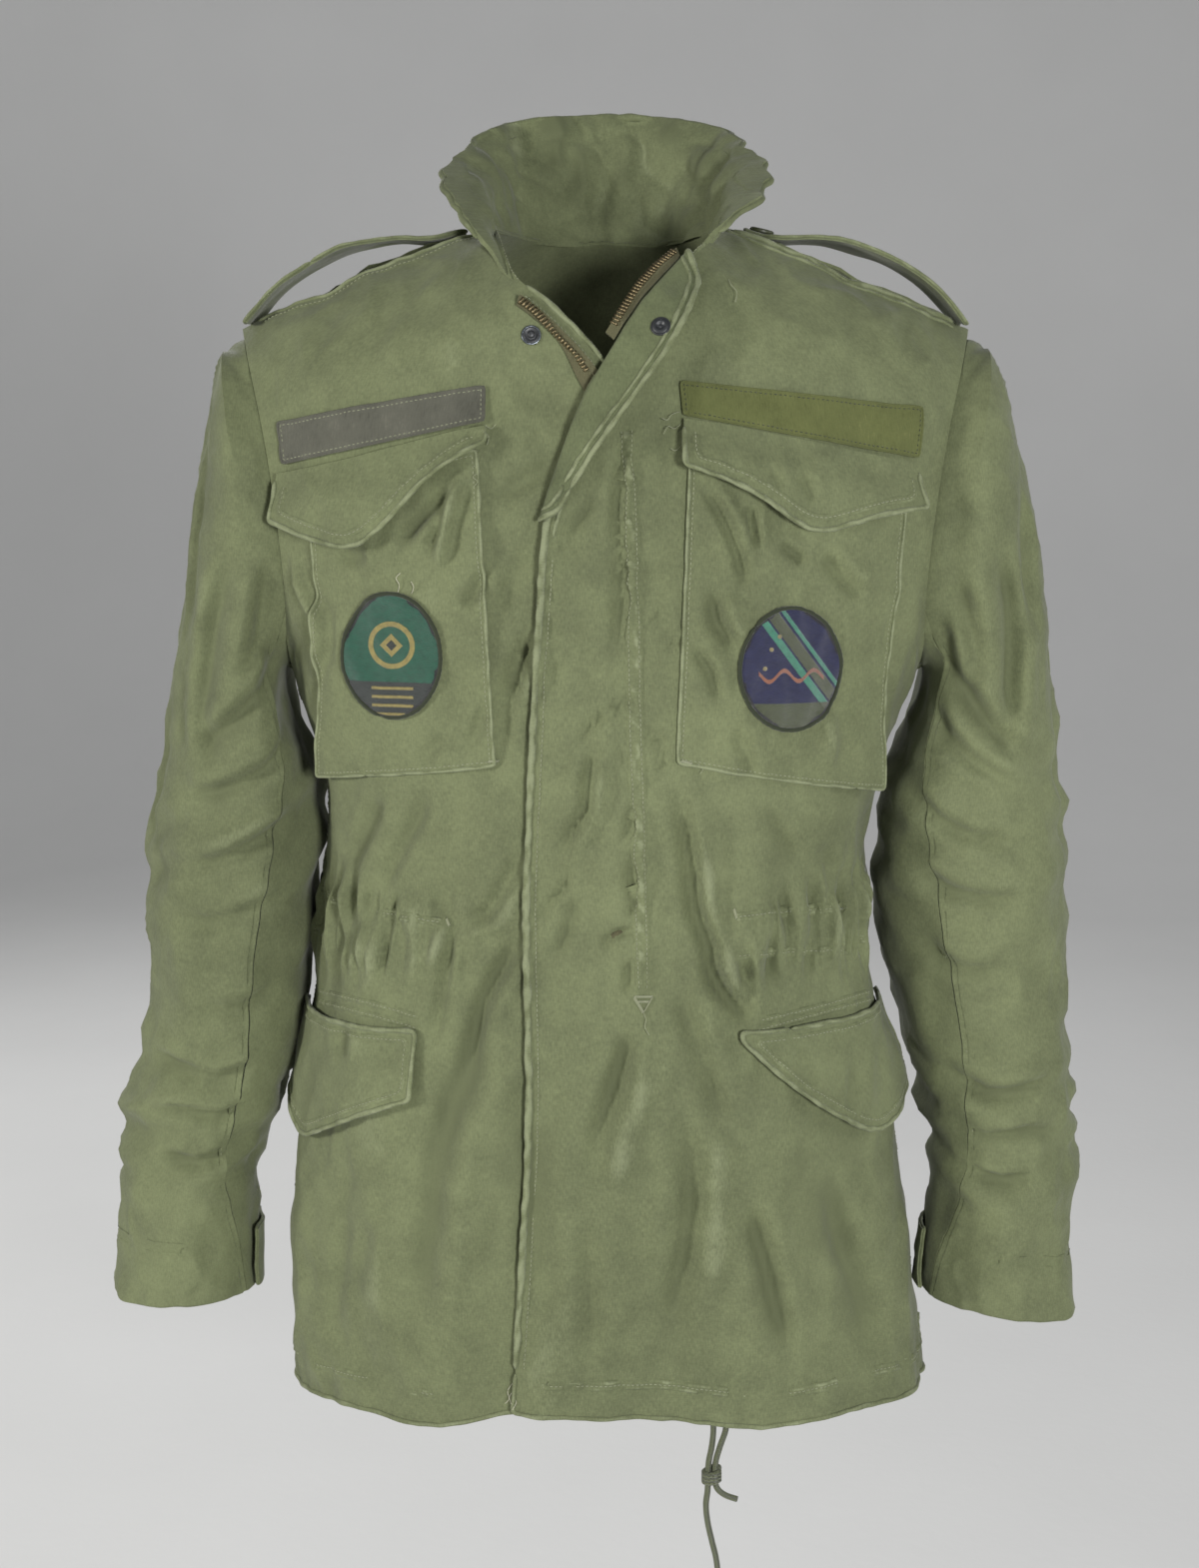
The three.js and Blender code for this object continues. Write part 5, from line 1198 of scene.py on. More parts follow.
def finishes():
    """Makes every finish once."""
    chosen = looks()
    own = tuple(chosen.cloth_colour)
    worn = tuple(chosen.worn_colour)
    inner = tuple(chosen.facing_colour)
    finish["olive_cloth"] = sateen("olive_sateen", own, worn)
    finish["facing_cloth"] = sateen("facing_sateen", inner, worn, 0.35)
    # The edge finish pales worn bands and rolls, and paints shade into the bands' stitch grooves and pucker
    # troughs.
    finish["edge"] = sateen("edge_wear_and_shade", own, worn, 0.6, 0.0002)
    for name, colour, dark, pale, scale in (
        ("grey_tape", tuple(chosen.tape_grey), linear(62, 62, 54), linear(108, 107, 94), 2100),
        ("olive_tape", tuple(chosen.tape_olive), linear(72, 76, 42), linear(120, 122, 76), 2100),
        ("zip_tape", linear(88, 86, 62), linear(62, 58, 42), linear(112, 110, 84), 1900),
    ):
        finish[name] = ribbed(name, colour, dark, pale, scale)
    finish["thread"] = thread_paint("olive_thread", linear(150, 154, 124))
    finish["dark_thread"] = thread_paint("dark_thread", linear(46, 52, 34))
    finish["white_thread"] = thread_paint("frayed_thread", linear(196, 192, 172))
    finish["cord"] = braid_paint("olive_braid", linear(104, 110, 80))
    finish["brass"] = worn_metal("worn_brass", linear(150, 136, 104), linear(62, 54, 40), 0.45)
    finish["black_metal"] = painted_metal("black_snap", linear(34, 36, 38), linear(112, 116, 118))
    finish["bare_metal"] = worn_metal("snap_ring", linear(128, 134, 140), linear(60, 64, 68), 0.35)
    finish["button"] = plastic("olive_button", linear(58, 62, 40))
    finish["green_patch"] = patch_paint(
        "green_patch", (-0.1351, -0.2715), 0, linear(22, 84, 62), linear(22, 26, 24), green_marks
    )
    finish["navy_patch"] = patch_paint(
        "navy_patch", (0.1168, -0.2794), 0, linear(28, 32, 70), linear(28, 28, 32), navy_marks
    )


# Stage


def add_light(name, place, target, size, power, colour=(1, 1, 1)):
    data = bpy.data.lights.new(name, "AREA")
    data.shape = "RECTANGLE"
    data.size, data.size_y = size
    data.energy = power
    data.color = colour
    lamp = bpy.data.objects.new(name, data)
    bpy.context.scene.collection.objects.link(lamp)
    lamp.location = place
    lamp.rotation_euler = (Vector(target) - Vector(place)).to_track_quat("-Z", "Y").to_euler()


class JACKET_OT_stage(bpy.types.Operator):
    """Camera, soft lights, pale floor and backdrop, and the finishes"""

    bl_idname = "jacket.stage"
    bl_label = "Stage"

    def execute(self, context):
        scene = context.scene
        data = bpy.data.cameras.new("camera")
        data.lens = CAMERA_LENS
        data.sensor_width = SENSOR_WIDTH
        data.sensor_fit = "AUTO"
        camera = bpy.data.objects.new("camera", data)
        scene.collection.objects.link(camera)
        camera.location = CAMERA_PLACE
        camera.rotation_euler = (math.radians(CAMERA_PITCH), 0, 0)
        scene.camera = camera
        add_light("key", (-2.1, -1.2, 0.15), (0, 0, -0.45), (0.4, 0.4), 38, (1.0, 0.985, 0.96))
        add_light("front", (0.75, -2.3, -0.15), (0, 0, -0.45), (0.4, 0.4), 49, (0.99, 0.99, 1.0))
        add_light("side", (2.1, -0.4, 0.3), (0, 0, -0.5), (0.7, 0.7), 10)
        add_light("behind", (-1.2, 2.6, 1.1), (0, 0.1, -0.4), (1.2, 1.0), 44)
        world = bpy.data.worlds.new("studio")
        world.use_nodes = True
        world.node_tree.nodes["Background"].inputs["Color"].default_value = (0.9, 0.92, 0.95, 1)
        world.node_tree.nodes["Background"].inputs["Strength"].default_value = 0.2
        scene.world = world
        scene.view_settings.view_transform = "Standard"
        floor = Paint(
            "pale_floor", Roughness=0.9, Specular_IOR_Level=0.1,
            Emission_Color=(1, 1, 1, 1), Emission_Strength=0.12,
        )
        shade = floor.mix(floor.noise(3, 3), (0.56, 0.56, 0.55, 1), (0.62, 0.62, 0.61, 1))
        floor.finish(shade, None, floor.noise(60, 4), 0.0004)
        profile = [(-BACKDROP_HALF, FLOOR_Z)]
        for k in range(13):
            angle = math.pi / 2 * k / 12
            profile.append((
                BACKDROP_START + BACKDROP_BEND * math.sin(angle),
                FLOOR_Z + BACKDROP_BEND * (1 - math.cos(angle)),
            ))
        profile.append((BACKDROP_START + BACKDROP_BEND, BACKDROP_TOP))
        points = [(x, y, z) for y, z in profile for x in (-BACKDROP_HALF, BACKDROP_HALF)]
        faces = [(2 * k, 2 * k + 1, 2 * k + 3, 2 * k + 2) for k in range(len(profile) - 1)]
        mesh = bpy.data.meshes.new("backdrop")
        mesh.from_pydata(points, [], faces)
        mesh.update()
        mesh.polygons.foreach_set("use_smooth", [True] * len(faces))
        mesh.materials.append(floor.material)
        sweep = bpy.data.objects.new("backdrop", mesh)
        scene.collection.objects.link(sweep)
        finishes()
        return {"FINISHED"}


# Drawcord of the hem

CORD_LONG = [
    (70, -121.5, -752), (70.5, -122.5, -768), (71, -123, -781), (70, -123.5, -792), (68, -124, -803),
    (67.7, -124, -813), (67.4, -124, -823), (66.4, -124, -833), (67.6, -124, -845), (70.6, -123.5, -859),
    (73.4, -123, -871), (74.8, -122.5, -883), (75.4, -122, -898),
]
CORD_SHORT = [
    (80, -121.5, -752), (80, -122.5, -768), (79, -123, -781), (75.5, -123.5, -792), (72.6, -124, -803),
    (72.2, -124, -813), (73.6, -124, -821), (79, -124, -826), (87, -124, -829),
]
KNOT_PLACE = (69.95, -124, -812)
KNOT_HEIGHT = 7.2
KNOT_STEPS = 48


def cord_line(points):
    return [p * MM for p in curve_points(points, 1.2)]


def line_length(points):
    return sum((b - a).length for a, b in zip(points, points[1:]))


class JACKET_OT_cords(bpy.types.Operator):
    """The two free ends of the hem's drawcord and the knot that joins them"""

    bl_idname = "jacket.cords"
    bl_label = "Drawcord"

    def execute(self, context):
        radius = looks().cord_width / 2
        pile = Pile()
        turns = []
        for k in range(KNOT_STEPS + 1):
            angle = 2 * math.pi * k / 16
            size = 5.0 if k % 2 else 4.6
            turns.append(MM * Vector((
                KNOT_PLACE[0] + math.cos(angle) * size,
                KNOT_PLACE[1] + math.sin(angle) * size * 0.95,
                KNOT_PLACE[2] + KNOT_HEIGHT * (0.5 - k / KNOT_STEPS) + 1.2 * math.cos(angle),
            )))
        strand(pile, turns, radius * 1.05, 10)
        knot = pile.make("drawcord_knot", finish["cord"], "cord")
        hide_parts("cord_knot")
        for name, node, route in (
            ("drawcord_long", "cord_long", CORD_LONG),
            ("drawcord_short", "cord_short", CORD_SHORT),
        ):
            line = cord_line(route)
            pile = Pile()
            strand(pile, line, radius, 12)
            obj = pile.make(name, finish["cord"], "cord")
            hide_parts(node)
            line_length(line)
        return {"FINISHED"}


# Cloth pieces

BODY = ("back", "front_right", "front_left")
SLEEVES = {
    "left": ("sleeve_top_left", "sleeve_under_left"),
    "right": ("sleeve_top_right", "sleeve_under_right"),
}
POCKETS = ("chest_pocket_right", "chest_pocket_left", "chest_flap_right", "chest_flap_left",
           "hip_flap_right", "hip_flap_left")
LOOPS = ("epaulet_right", "epaulet_left", "cuff_tab_right", "cuff_tab_left")
TRIM = ("tape_right", "tape_left", "patch_right", "patch_left", "zip_right", "zip_left", "zip_closed")
# Heights where a long face is cut before it is subdivided
HEM_CUTS = (-0.498, -0.534, -0.575, -0.617, -0.659, -0.700, -0.736, -0.766)
SLEEVE_CUTS = (-0.26, -0.32, -0.38, -0.44, -0.50, -0.56, -0.62, -0.68)


class JACKET_OT_cut_body(bpy.types.Operator):
    """The back and the two fronts, cut from the pattern with their borders marked"""

    bl_idname = "jacket.cut_body"
    bl_label = "Cut fronts and back"

    def execute(self, context):
        cut_cloth("back", 2, HEM_CUTS)
        cut_cloth("front_right", 3)
        cut_cloth("front_left", 3)
        return {"FINISHED"}


class JACKET_OT_cut_sleeves(bpy.types.Operator):
    """The top and under pieces of both sleeves"""

    bl_idname = "jacket.cut_sleeves"
    bl_label = "Cut sleeves"

    def execute(self, context):
        for pair in SLEEVES.values():
            cut_cloth(pair[0], 3)
            cut_cloth(pair[1], 2, SLEEVE_CUTS)
        return {"FINISHED"}


class JACKET_OT_cut_collar(bpy.types.Operator):
    """The stand collar and the facing that shows where the front is turned back"""

    bl_idname = "jacket.cut_collar"
    bl_label = "Cut collar"

    def execute(self, context):
        cut_cloth("collar", 3)
        cut_cloth("fly_facing", 2)
        return {"FINISHED"}


class JACKET_OT_cut_pockets(bpy.types.Operator):
    """The chest pockets and the flaps of the chest and hip pockets"""

    bl_idname = "jacket.cut_pockets"
    bl_label = "Cut pockets"

    def execute(self, context):
        for node in POCKETS:
            cut_cloth(node, 3 if node.startswith("chest_pocket") else 2)
        return {"FINISHED"}


class JACKET_OT_cut_loops(bpy.types.Operator):
    """The shoulder loops and the tabs at the cuffs"""

    bl_idname = "jacket.cut_loops"
    bl_label = "Cut loops and tabs"

    def execute(self, context):
        for node in LOOPS:
            cut_cloth(node, 2)
        return {"FINISHED"}


class JACKET_OT_cut_trim(bpy.types.Operator):
    """The sewn tapes and patches, and the zip's tapes"""

    bl_idname = "jacket.cut_trim"
    bl_label = "Cut tapes and patches"

    def execute(self, context):
        for node in TRIM:
            cut_cloth(node, 2)
        return {"FINISHED"}


# Creases pressed into the cloth

# The waist channel's gathers: height, half height, pitch and depth in millimetres, and seed
WAIST_GATHERS = ((-437, 17, 10, 1.5, 3), (-468, 17, 9, 1.5, 4), (-452, 34, 17, 1.6, 5))
# Radius of the round on which a sleeve's crumples are drawn
SLEEVE_RADIUS = 0.066
COLLAR_MIDDLE = 0.02


def sleeve_frame(side):
    """Centres of a sleeve by height, from its own points."""
    points = np.concatenate([points_of(cloth[node]) for node in SLEEVES[side]])
    heights = np.linspace(-0.74, -0.07, 40)
    centres = []
    for z in heights:
        near = points[np.abs(points[:, 2] - z) < 0.02]
        if len(near) < 8:
            centres.append(centres[-1] if centres else points.mean(0)[:2])
            continue
        centres.append((near[:, :2].min(0) + near[:, :2].max(0)) / 2)
    return heights, np.array(centres)


def sleeve_places(points, side, spine):
    """Degrees round a sleeve, 0 in front and 90 outward, and the way out from its centre."""
    heights, centres = spine
    sign = 1 if side == "left" else -1
    middle = np.stack([np.interp(points[:, 2], heights, centres[:, k]) for k in range(2)], 1)
    away = points[:, :2] - middle
    turn = np.degrees(np.arctan2(away[:, 0] * sign, -away[:, 1]))
    return turn, unit(np.concatenate([away, np.zeros((len(away), 1))], 1))


def gathers(u, v, centre, half, pitch, height, seed):
    """Upright gathers where a drawn cord bunches the cloth, strongest at its line."""
    made = np.zeros(len(u))
    near = np.nonzero(np.abs(v - centre) < 3 * half)[0]
    for i in near:
        wave = noise.noise(Vector((u[i] / pitch, v[i] / 70, seed * 1.9)))
        wave += 0.45 * noise.noise(Vector((u[i] / pitch * 2.2, v[i] / 30, seed * 3.9)))
        made[i] = height * MM * wave * 2 * math.exp(-(((v[i] - centre) / half) ** 2))
    return made


def press_body(points, armholes):
    """How far each point of the body's layers moves outward, in metres."""
    turn = body_turn(points)
    u = turn * BODY_TURN
    x = points[:, 0] / MM
    z = points[:, 2] / MM
    move = crease_height(FRONT_CREASES, x, z) * (1 - smooth(62, 82, np.abs(turn)))
    move += crease_height(ROUND_CREASES, u, z)
    drawn = sum(gathers(u, z, *row) for row in WAIST_GATHERS)
    move += drawn * smooth(16, 34, np.abs(turn))
    move += crumple(points, (0.032, 0.05, 0.055), 1) * 0.0011
    move += crumple(points, (0.013, 0.02, 0.021), 2) * 0.0005
    move += ridges(points, (0.021, 0.04, 0.05), 4, 0.0006)
    move += crumple(points, (0.07, 0.09, 0.24), 3) * 0.0034 * smooth(-0.30, -0.62, points[:, 2])
    low = points[:, 2] < -0.70
    ripple = crumple(np.stack([u[low] * MM, u[low] * 0, points[low, 2]], 1), (0.013, 1, 0.05), 6)
    move[low] += ripple * 0.0011 * smooth(-0.715, -0.76, points[low, 2])
    return move * smooth(0.002, 0.018, distances(armholes, points))


def press_sleeve(points, side, turn, armholes):
    """How far each point of a sleeve moves outward, in metres."""
    height = points[:, 2]
    move = crease_height(SLEEVE_CREASES[side], turn * SLEEVE_TURN, height / MM)
    angle = np.radians(turn)
    ring = np.stack([np.sin(angle) * SLEEVE_RADIUS, np.cos(angle) * SLEEVE_RADIUS, height], 1)
    slant = ring[:, [2, 2, 0]]
    seed = 11 if side == "left" else 17
    move += crumple(ring, (0.04, 0.04, 0.06), seed) * 0.0016
    move += crumple(ring, (0.016, 0.016, 0.018), seed + 1) * 0.0005
    move += ridges(ring, (0.034, 0.034, 0.03), seed + 4, 0.0007)
    slack = np.exp(-(((height + 0.60) / 0.055) ** 2))
    move += crumple(ring + slant * 0.25, (0.06, 0.06, 0.017), seed + 2) * 0.0034 * slack
    elbow = np.exp(-(((height + 0.40) / 0.07) ** 2))
    move += crumple(ring + slant * 0.35, (0.05, 0.05, 0.022), seed + 3) * 0.0026 * elbow
    return move * smooth(0.002, 0.02, distances(armholes, points))


SLEEVE_CREASES = {
    "left": [
        ([(0, -190), (10, -240), (8, -300), (4, -350)], 9, -3.0, 0.5),
        ([(-22, -215), (-14, -262), (-16, -310)], 8, -2.6, 0.5),
        ([(34, -160), (30, -215), (24, -270)], 10, -2.0, 0.4),
        ([(-40, -240), (-30, -280), (-8, -318), (20, -345)], 9, -3.2, 0.6),
        ([(-46, -300), (-28, -330), (0, -352), (26, -366)], 8, -2.6, 0.6),
        ([(-52, -360), (-30, -385), (-4, -398), (24, -402)], 8, -3.0, 0.6),
        ([(-50, -410), (-26, -432), (6, -440), (34, -436)], 8, -2.8, 0.6),
        ([(-48, -470), (-20, -488), (14, -492)], 9, -2.4, 0.5),
        ([(-40, -560), (-12, -574), (22, -570), (50, -560)], 7, -2.8, 0.6),
        ([(-44, -596), (-16, -604), (16, -600), (46, -606)], 6, -2.8, 0.6),
        ([(-36, -626), (-8, -634), (24, -628)], 6, -2.4, 0.6),
        ([(60, -300), (76, -360), (84, -420)], 14, -1.6, 0.4),
        ([(90, -240), (110, -310), (112, -380)], 13, -2.4, 0.4),
        ([(140, -250), (150, -330), (140, -400)], 12, -2.4, 0.4),
        ([(170, -400), (140, -430), (104, -440)], 9, -2.4, 0.5),
        ([(-176, -420), (-150, -450), (-120, -456)], 9, -2.2, 0.5),
        ([(120, -590), (150, -604), (186, -596)], 8, -2.4, 0.5),
    ],
    "right": [
        ([(-6, -200), (4, -250), (10, -310), (6, -362)], 9, -2.8, 0.5),
        ([(-26, -205), (-22, -260), (-12, -306)], 8, -2.4, 0.5),
        ([(40, -150), (36, -200), (28, -262)], 11, -2.0, 0.4),
        ([(-44, -255), (-26, -300), (2, -330), (30, -344)], 9, -3.0, 0.6),
        ([(-50, -318), (-26, -352), (4, -366), (36, -370)], 8, -2.6, 0.6),
        ([(-54, -378), (-28, -396), (0, -412), (30, -420)], 8, -3.0, 0.6),
        ([(-50, -430), (-24, -444), (8, -456), (40, -452)], 9, -2.4, 0.6),
        ([(-46, -500), (-16, -516), (18, -512)], 9, -2.2, 0.5),
        ([(-42, -548), (-10, -562), (26, -556), (56, -548)], 7, -2.8, 0.6),
        ([(-46, -578), (-18, -590), (18, -584), (50, -590)], 6, -3.0, 0.6),
        ([(-38, -612), (-6, -622), (28, -614)], 6, -2.6, 0.6),
        ([(62, -310), (80, -372), (82, -430)], 14, -1.6, 0.4),
        ([(96, -230), (108, -300), (118, -384)], 13, -2.4, 0.4),
        ([(136, -262), (146, -330), (150, -392)], 12, -2.4, 0.4),
        ([(172, -390), (144, -420), (108, -436)], 9, -2.4, 0.5),
        ([(-174, -430), (-146, -446), (-118, -462)], 9, -2.2, 0.5),
        ([(116, -580), (148, -598), (182, -590)], 8, -2.4, 0.5),
    ],
}
SLEEVE_LAYERS = {"left": ("cuff_tab_left",), "right": ("cuff_tab_right",)}
BODY_LAYERS = BODY + POCKETS + TRIM + ("fly_facing",)
SLOTS = {
    "tape_right": "grey_tape", "tape_left": "olive_tape",
    "patch_right": "green_patch", "patch_left": "navy_patch",
    "zip_right": "zip_brass", "zip_left": "zip_brass", "zip_closed": "zip_brass",
    "fly_facing": "facing_cloth",
}
FLAP_LIFT = 0.00144
# How near a sleeve's border lies to the body at its armhole
ARMHOLE_REACH = 0.009
# A row inside a border keeps this share of its distance from it, and ends at a longer gap than this
INNER_SHARE = 0.84
INNER_GAP = 0.012


def dress(node, points, out, move, worn, grain):
    """Presses a piece along the way out, and gives it the finish of its slot."""
    obj = cloth[node]
    set_points(obj, points + out * (move * looks().crease_depth)[:, None])
    slot = SLOTS.get(node, "olive_cloth")
    obj.data.materials.append(finish["zip_tape" if slot == "zip_brass" else slot])
    # The worn values pale the crests and paint shade into the hollows.
    store(obj, "worn", worn)
    store(obj, "grain", grain)


def crest_wear_and_hollow_shade(move, full):
    """Pale wear on crests and painted shade in hollows, fullest where they are as high or as deep as a full
    crease.
    """
    return np.clip(move / full, -1, 1) * 0.8


class JACKET_OT_press_folds(bpy.types.Operator):
    """Presses creases, gathers and puckers into every layer of cloth, so layers keep their order"""

    bl_idname = "jacket.press_folds"
    bl_label = "Press creases"

    def execute(self, context):
        armholes = []
        for pair in SLEEVES.values():
            for node in pair:
                for run in seam_runs(node, BODY, ARMHOLE_REACH):
                    armholes += [place for place, _ in run]
        tree = tree_of(armholes)
        for node in BODY_LAYERS:
            self.press_layer(node, tree)
        for side, pair in SLEEVES.items():
            spine = sleeve_frame(side)
            for node in pair + SLEEVE_LAYERS[side]:
                points = points_of(cloth[node])
                turn, out = sleeve_places(points, side, spine)
                move = press_sleeve(points, side, turn, tree)
                grain = np.stack([turn * SLEEVE_TURN * MM, points[:, 2], np.zeros(len(points))], 1)
                # Paler wear on crests and painted shade in crease hollows.
                dress(node, points, out, move, crest_wear_and_hollow_shade(move, 0.0036), grain)
        self.press_collar()
        for node in ("epaulet_right", "epaulet_left"):
            points = points_of(cloth[node])
            move = crumple(points, (0.03, 0.016, 0.03), 31) * 0.0008
            up = np.zeros_like(points)
            up[:, 2] = 1
            # Paler wear on crumple crests and painted shade in their hollows.
            dress(node, points, up, move, crest_wear_and_hollow_shade(move, 0.001) * 0.75, points[:, [1, 0, 2]])
        return {"FINISHED"}

    def press_layer(self, node, armholes):
        """Presses one of the layers that lie round the body."""
        points = points_of(cloth[node])
        move = press_body(points, armholes)
        if "flap" in node:
            # Flaps stand off their pockets by as much at any depth of crease
            wrinkle = crumple(points, (0.012, 0.03, 0.06), 8 + len(node))
            move += FLAP_LIFT * (0.6 + wrinkle) / looks().crease_depth
        if node.startswith("patch"):
            rim = distances(tree_of(points[rims[node]]), points)
            worn = 1 - smooth(0.0022, 0.0028, rim)
        else:
            rubbed = smooth(0.1, 0.6, crumple(points, (0.05, 0.05, 0.05), 9))
            # Paler wear on crests and in rubbed patches, and painted shade in crease hollows.
            worn = crest_wear_and_hollow_shade(move, 0.0032) + 0.25 * rubbed
        grain = np.stack([body_turn(points) * BODY_TURN * MM, points[:, 2], np.zeros(len(points))], 1)
        dress(node, points, body_outward(points), move, worn, grain)

    def press_collar(self):
        """Crumples the collar more towards its top."""
        points = points_of(cloth["collar"])
        x, y, z = points.T
        move = crumple(points, (0.022, 0.022, 0.05), 21) * 0.0030
        move += crumple(points, (0.011, 0.011, 0.02), 22) * 0.0012
        move += ridges(points, (0.03, 0.03, 0.022), 23, 0.0012)
        move *= 0.2 + 0.8 * smooth(-0.03, 0.02, z)
        out = unit(np.stack([x, y - COLLAR_MIDDLE, np.zeros(len(x))], 1))
        turn = np.degrees(np.arctan2(x, COLLAR_MIDDLE - y))
        grain = np.stack([turn * 0.0016, z, np.zeros(len(x))], 1)
        # Paler wear on crumple crests and painted shade in their hollows.
        dress("collar", points, out, move, crest_wear_and_hollow_shade(move, 0.002), grain)


def inner_rows(node, distance, test=everywhere):
    """Lines on a piece that run a distance inside its border, where the border passes a test."""
    own = Skin([node])
    tree = tree_of([place for run in border_runs(node, everywhere) for place, _ in run])
    made = []
    for run in border_runs(node, test):
        path = frames(ease(even_path(run, ROLL_STEP), 2))
        vote = 0
        for place, _, across, _ in path[::4]:
            over = (own.nearest(place + across * distance)[0] - place - across * distance).length
            under = (own.nearest(place - across * distance)[0] - place + across * distance).length
            vote += 1 if over < under else -1
        side = distance if vote > 0 else -distance
        line = []
        for place, normal, across, _ in path:
            found, away, _ = own.nearest(place + across * side)
            if away.dot(normal) < 0:
                away = normal
            if tree.find(found)[2] <= distance * INNER_SHARE:
                continue
            if line and (found - line[-1][0]).length > INNER_GAP:
                made.append(line)
                line = []
            line.append((found, away))
        made.append(line)
    return [line for line in made if len(line) > 6]


class Sewing:
    """Gathers a piece's sewn bands and its stitches, and makes both."""

    def __init__(self, name, nodes, slot="olive_cloth"):
        self.name = name
        self.skin = Skin(nodes)
        self.slot = slot
        self.bands = Pile()
        self.threads = Pile()
        self.seed = 1

    def band(self, path, width, height, grooves=(0.0,), pitch=0.007, wave=0.0006, twist=0.0):
        """A raised band with a row of stitches in each groove."""
        self.seed += 1
        if len(path) < 8:
            return
        path = ease(even_path(path, 0.002), 6)
        for line in welt(self.bands, self.skin, path, width, height, grooves, pitch, wave, self.seed, twist):
            stitches(self.threads, None, line, 0.00025, self.seed)

    def edge(self, path, radius, pitch=0.008, twist=1.0, flat=0.75, out=0.0, wear=0.75):
        """A rolled edge."""
        self.seed += 1
        if len(path) >= 8:
            roll(self.bands, path, radius, pitch, twist, self.seed, flat, out, wear)

    def row(self, path):
        """A row of stitches alone."""
        self.seed += 1
        if len(path) > 8:
            stitches(self.threads, self.skin, path, 0.0001, self.seed)

    def border(self, node, test, radius, **kind):
        """Rolls a piece's border where it passes a test."""
        for run in border_runs(node, test):
            self.edge(run, radius, **kind)

    def inside(self, node, distance, test, width, height, **kind):
        """Bands that run a distance inside a piece's border, where it passes a test."""
        for line in inner_rows(node, distance, test):
            self.band(line, width, height, **kind)

    def make(self, paint="edge", thread="thread"):
        if self.bands.faces:
            self.bands.make(f"seams_{self.name}", finish[paint], self.slot)
        if self.threads.faces:
            self.threads.make(f"stitches_{self.name}", finish[thread], self.slot)


# Rows of stitches drawn on the camera's picture, in its pixels
FLY_ROW = [(627, 430), (631, 520), (634, 620), (636, 740), (639, 820), (641, 910), (643, 997)]
WAIST_ROWS = {
    "right": (
        [(377, 912), (410, 918), (447, 924)],
        [(399, 956), (422, 959), (445, 963)],
    ),
    "left": (
        [(735, 918), (768, 914), (802, 911), (856, 908)],
        [(739, 957), (763, 955), (787, 953), (846, 950)],
    ),
}
HIP_WELTS = {
    "right": ([(320, 992), (372, 1004), (423, 1019)], [(319, 1002), (370, 1015), (422, 1030)]),
    "left": ([(762, 1021), (816, 1008), (871, 992)], [(758, 1031), (812, 1016), (873, 1000)]),
}


# The waist channel round the back: its rows' heights, and the turns where they end at the left and right
BACK_ROWS = ((-440, 66, 62), (-468, 64, 70))
# Share of a felled seam's width at which each of its two rows lies from the middle
TWIN_SHARE = 0.33


class JACKET_OT_body_seams(bpy.types.Operator):
    """Felled seams of the body and neck, the fly's stitching, the waist channel and the hem"""

    bl_idname = "jacket.body_seams"
    bl_label = "Body seams"

    def execute(self, context):
        chosen = looks()
        width, height = chosen.seam_width, chosen.seam_height
        sewing = Sewing("body", BODY)
        skin = sewing.skin
        for run in seam_runs("back", ("front_left", "front_right")):
            sewing.band(run, width, height, (-width * TWIN_SHARE, width * TWIN_SHARE))
        for node in ("front_left", "front_right", "back"):
            for run in seam_runs(node, ("collar",), 0.005):
                sewing.band(run, width * 0.8, height)
        sewing.band(front_path(skin, FLY_ROW), 0.0125, 0.0012, (-0.0036, 0.0036), pitch=0.0065, twist=1.4)
        channel = {"width": 0.0075, "height": 0.0007, "pitch": 0.005, "wave": 0.0012}
        for side, lines in WAIST_ROWS.items():
            for line in lines:
                sewing.band(front_path(skin, line), **channel)
            for line in HIP_WELTS[side]:
                sewing.band(front_path(skin, line), 0.0055, 0.0009, pitch=0.006, wave=0.0007)
        for z, left, right in BACK_ROWS:
            for turns in ((left, 90, 120, 150, 180), (-180, -150, -120, -90, -right)):
                sewing.band(around_path(skin, [(turn, z) for turn in turns]), **channel)
        hem = below(HEM_LINE)
        for node in BODY:
            sewing.border(node, hem, 0.0017, pitch=0.011, wear=0.6)
            sewing.inside(node, 0.022, hem, 0.008, 0.0009, pitch=0.0075, wave=0.001)
        sewing.make()
        return {"FINISHED"}


class JACKET_OT_sleeve_seams(bpy.types.Operator):
    """Armhole seams, the sleeves' two long seams, and the cuffs"""

    bl_idname = "jacket.sleeve_seams"
    bl_label = "Sleeve seams"

    def execute(self, context):
        chosen = looks()
        width, height = chosen.seam_width, chosen.seam_height
        twin = (-width * TWIN_SHARE, width * TWIN_SHARE)
        cuff = below(CUFF_LINE)
        for side, pair in SLEEVES.items():
            sleeve = Sewing(f"sleeve_{side}", pair)
            armhole = Sewing(f"armhole_{side}", pair + BODY)
            for node in pair:
                for run in seam_runs(node, BODY, ARMHOLE_REACH):
                    armhole.band(run, width * 1.15, height * 1.5, twin, wave=0.0008)
            for run in seam_runs(pair[1], (pair[0],), 0.008):
                sleeve.band(run, width * 1.1, height * 1.7, twin, wave=0.0009)
            for node in pair:
                sleeve.border(node, cuff, 0.0016, pitch=0.012, wear=0.55)
                sleeve.inside(node, 0.041, cuff, 0.007, 0.0006, pitch=0.006, wave=0.0009)
            node = f"cuff_tab_{side}"
            tab = Sewing(node, (node,))
            tab.border(node, everywhere, 0.0013, pitch=0.009)
            tab.inside(node, 0.005, everywhere, 0.004, 0.0003)
            sleeve.make()
            armhole.make()
            tab.make()
        return {"FINISHED"}


